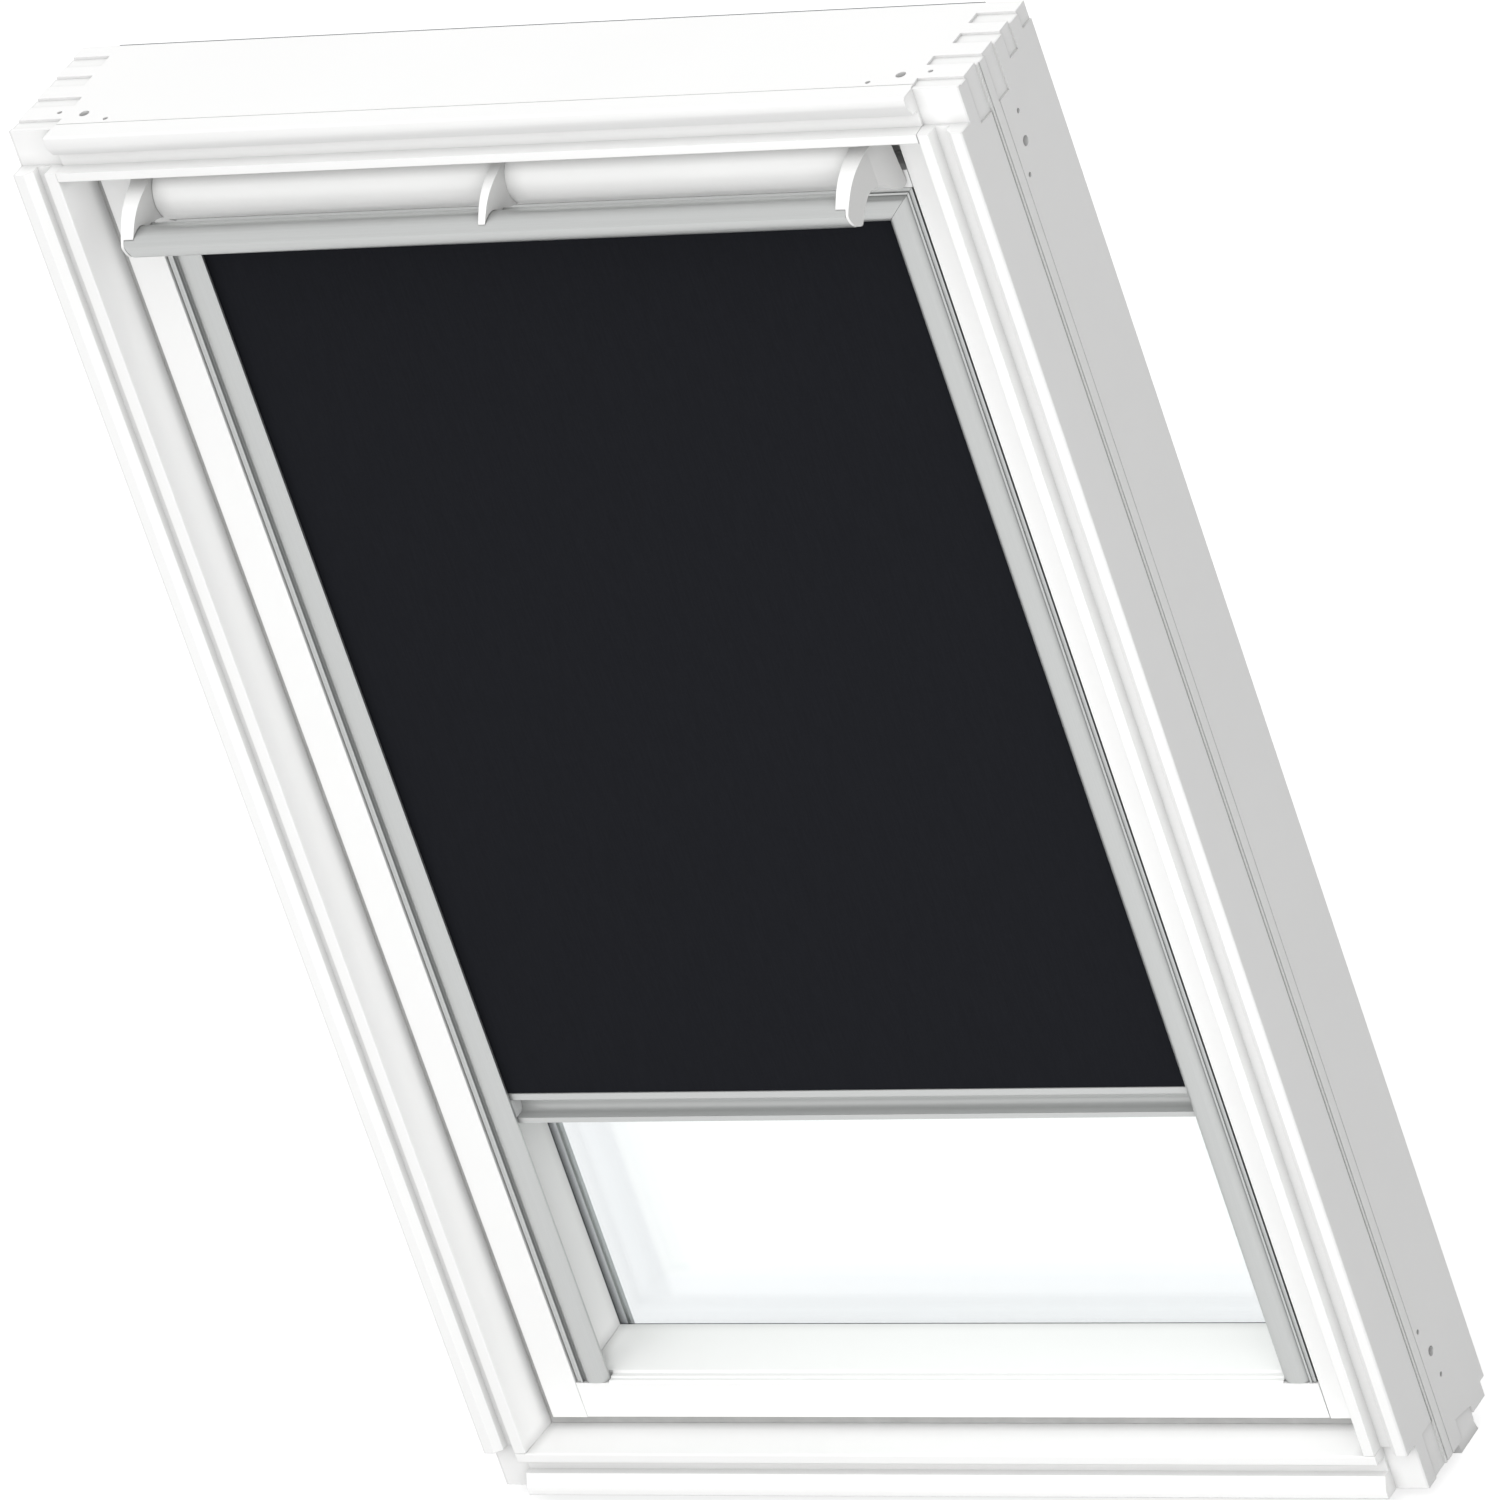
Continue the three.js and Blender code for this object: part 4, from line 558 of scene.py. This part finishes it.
def wound_cloth():
    """The cloth wound on the tube, as one spiral sheet with its free end in front."""
    outer = (roll_high.y - roll_low.y) / 2
    tube_low, tube_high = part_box("roller_tube")
    inner = (tube_high.y - tube_low.y) / 2 + 0.1 * MM
    total = int((outer - inner) / ROLL_PITCH * ROLL_STEPS)
    inside, outside = [], []
    for step in range(total + 1):
        angle = math.pi - math.tau * (total - step) / ROLL_STEPS
        near = inner + ROLL_PITCH * step / ROLL_STEPS
        far = near + min(ROLL_PITCH - ROLL_GAP, outer - near)
        for radius, points in ((near, inside), (far, outside)):
            points.append((roll_y + radius * math.cos(angle), roll_z + radius * math.sin(angle)))
    section = inside + list(reversed(outside))
    return swept_x("blind_cloth_roll", section, roll_low.x, roll_high.x, 1, [looks["cloth"]])


roll = wound_cloth()
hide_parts("cloth_roll")
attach(roll, "roller")


# Floor, light and camera

def lay_floor():
    low = CAD_BOX[0].z
    corners = [(x * FLOOR_REACH, y * FLOOR_REACH, low) for x, y in ((-1, -1), (1, -1), (1, 1), (-1, 1))]
    floor = mesh_piece("floor", corners, [(0, 1, 2, 3)], [floor_surface()])


def hang_softboxes():
    for name, box in SOFTBOXES.items():
        data = bpy.data.lights.new(name, "AREA")
        data.shape = "RECTANGLE"
        data.size, data.size_y = SOFTBOX_SIZE
        data.energy = box["watts"]
        lamp = bpy.data.objects.new(name, data)
        lamp.location = box["at"]
        aim = Vector(box["aim"]) - Vector(box["at"])
        lamp.rotation_mode = "QUATERNION"
        lamp.rotation_quaternion = aim.to_track_quat("-Z", "Y")
        lamp.visible_camera = False
        lamp.visible_glossy = False
        bpy.context.scene.collection.objects.link(lamp)


def sky_glow(sky):
    """Strength of the studio's dome: broad soft glows, each round its own azimuth and elevation."""
    way = sky.node("ShaderNodeTexCoord").outputs["Generated"]
    total = None
    for azimuth, elevation, strength in SKY_GLOWS:
        turn, tilt = math.radians(azimuth), math.radians(elevation)
        towards = (math.cos(tilt) * math.cos(turn), math.cos(tilt) * math.sin(turn), math.sin(tilt))
        facing = sky.node("ShaderNodeVectorMath")
        facing.operation = "DOT_PRODUCT"
        sky.put(way, facing.inputs[0])
        sky.put(towards, facing.inputs[1])
        glow = sky.math("MAXIMUM", facing.outputs["Value"], 0.0)
        glow = sky.math("MULTIPLY", sky.math("POWER", glow, GLOW_POWER), strength)
        total = sky.math("ADD", total, glow) if total else glow
    return total


def raise_sky():
    """The dome lights the object by its glows. The camera, reflections and glass see plain white."""
    world = bpy.data.worlds.new("studio")
    world.use_nodes = True
    sky = Nodes(world.node_tree)
    lit = sky.tree.nodes["Background"]
    lit.inputs["Color"].default_value = (1, 1, 1, 1)
    sky.put(sky_glow(sky), lit.inputs["Strength"])
    seen = sky.node("ShaderNodeBackground", Color=(1, 1, 1, 1), Strength=1.0)
    sky.mixed(sky.any_ray(*SEEN_RAYS), lit, seen, "World Output")
    bpy.context.scene.world = world


def set_camera():
    data = bpy.data.cameras.new("view")
    data.lens = LENS
    data.sensor_width = SENSOR
    data.clip_start, data.clip_end = CLIP
    camera = bpy.data.objects.new("view", data)
    turn = Matrix((EYE_RIGHT, EYE_UP, EYE_BACK)).transposed().to_4x4()
    camera.matrix_world = Matrix.Translation(EYE) @ turn
    bpy.context.scene.collection.objects.link(camera)
    bpy.context.scene.camera = camera
    bpy.context.scene.view_settings.view_transform = "Standard"


lay_floor()
hang_softboxes()
raise_sky()
set_camera()
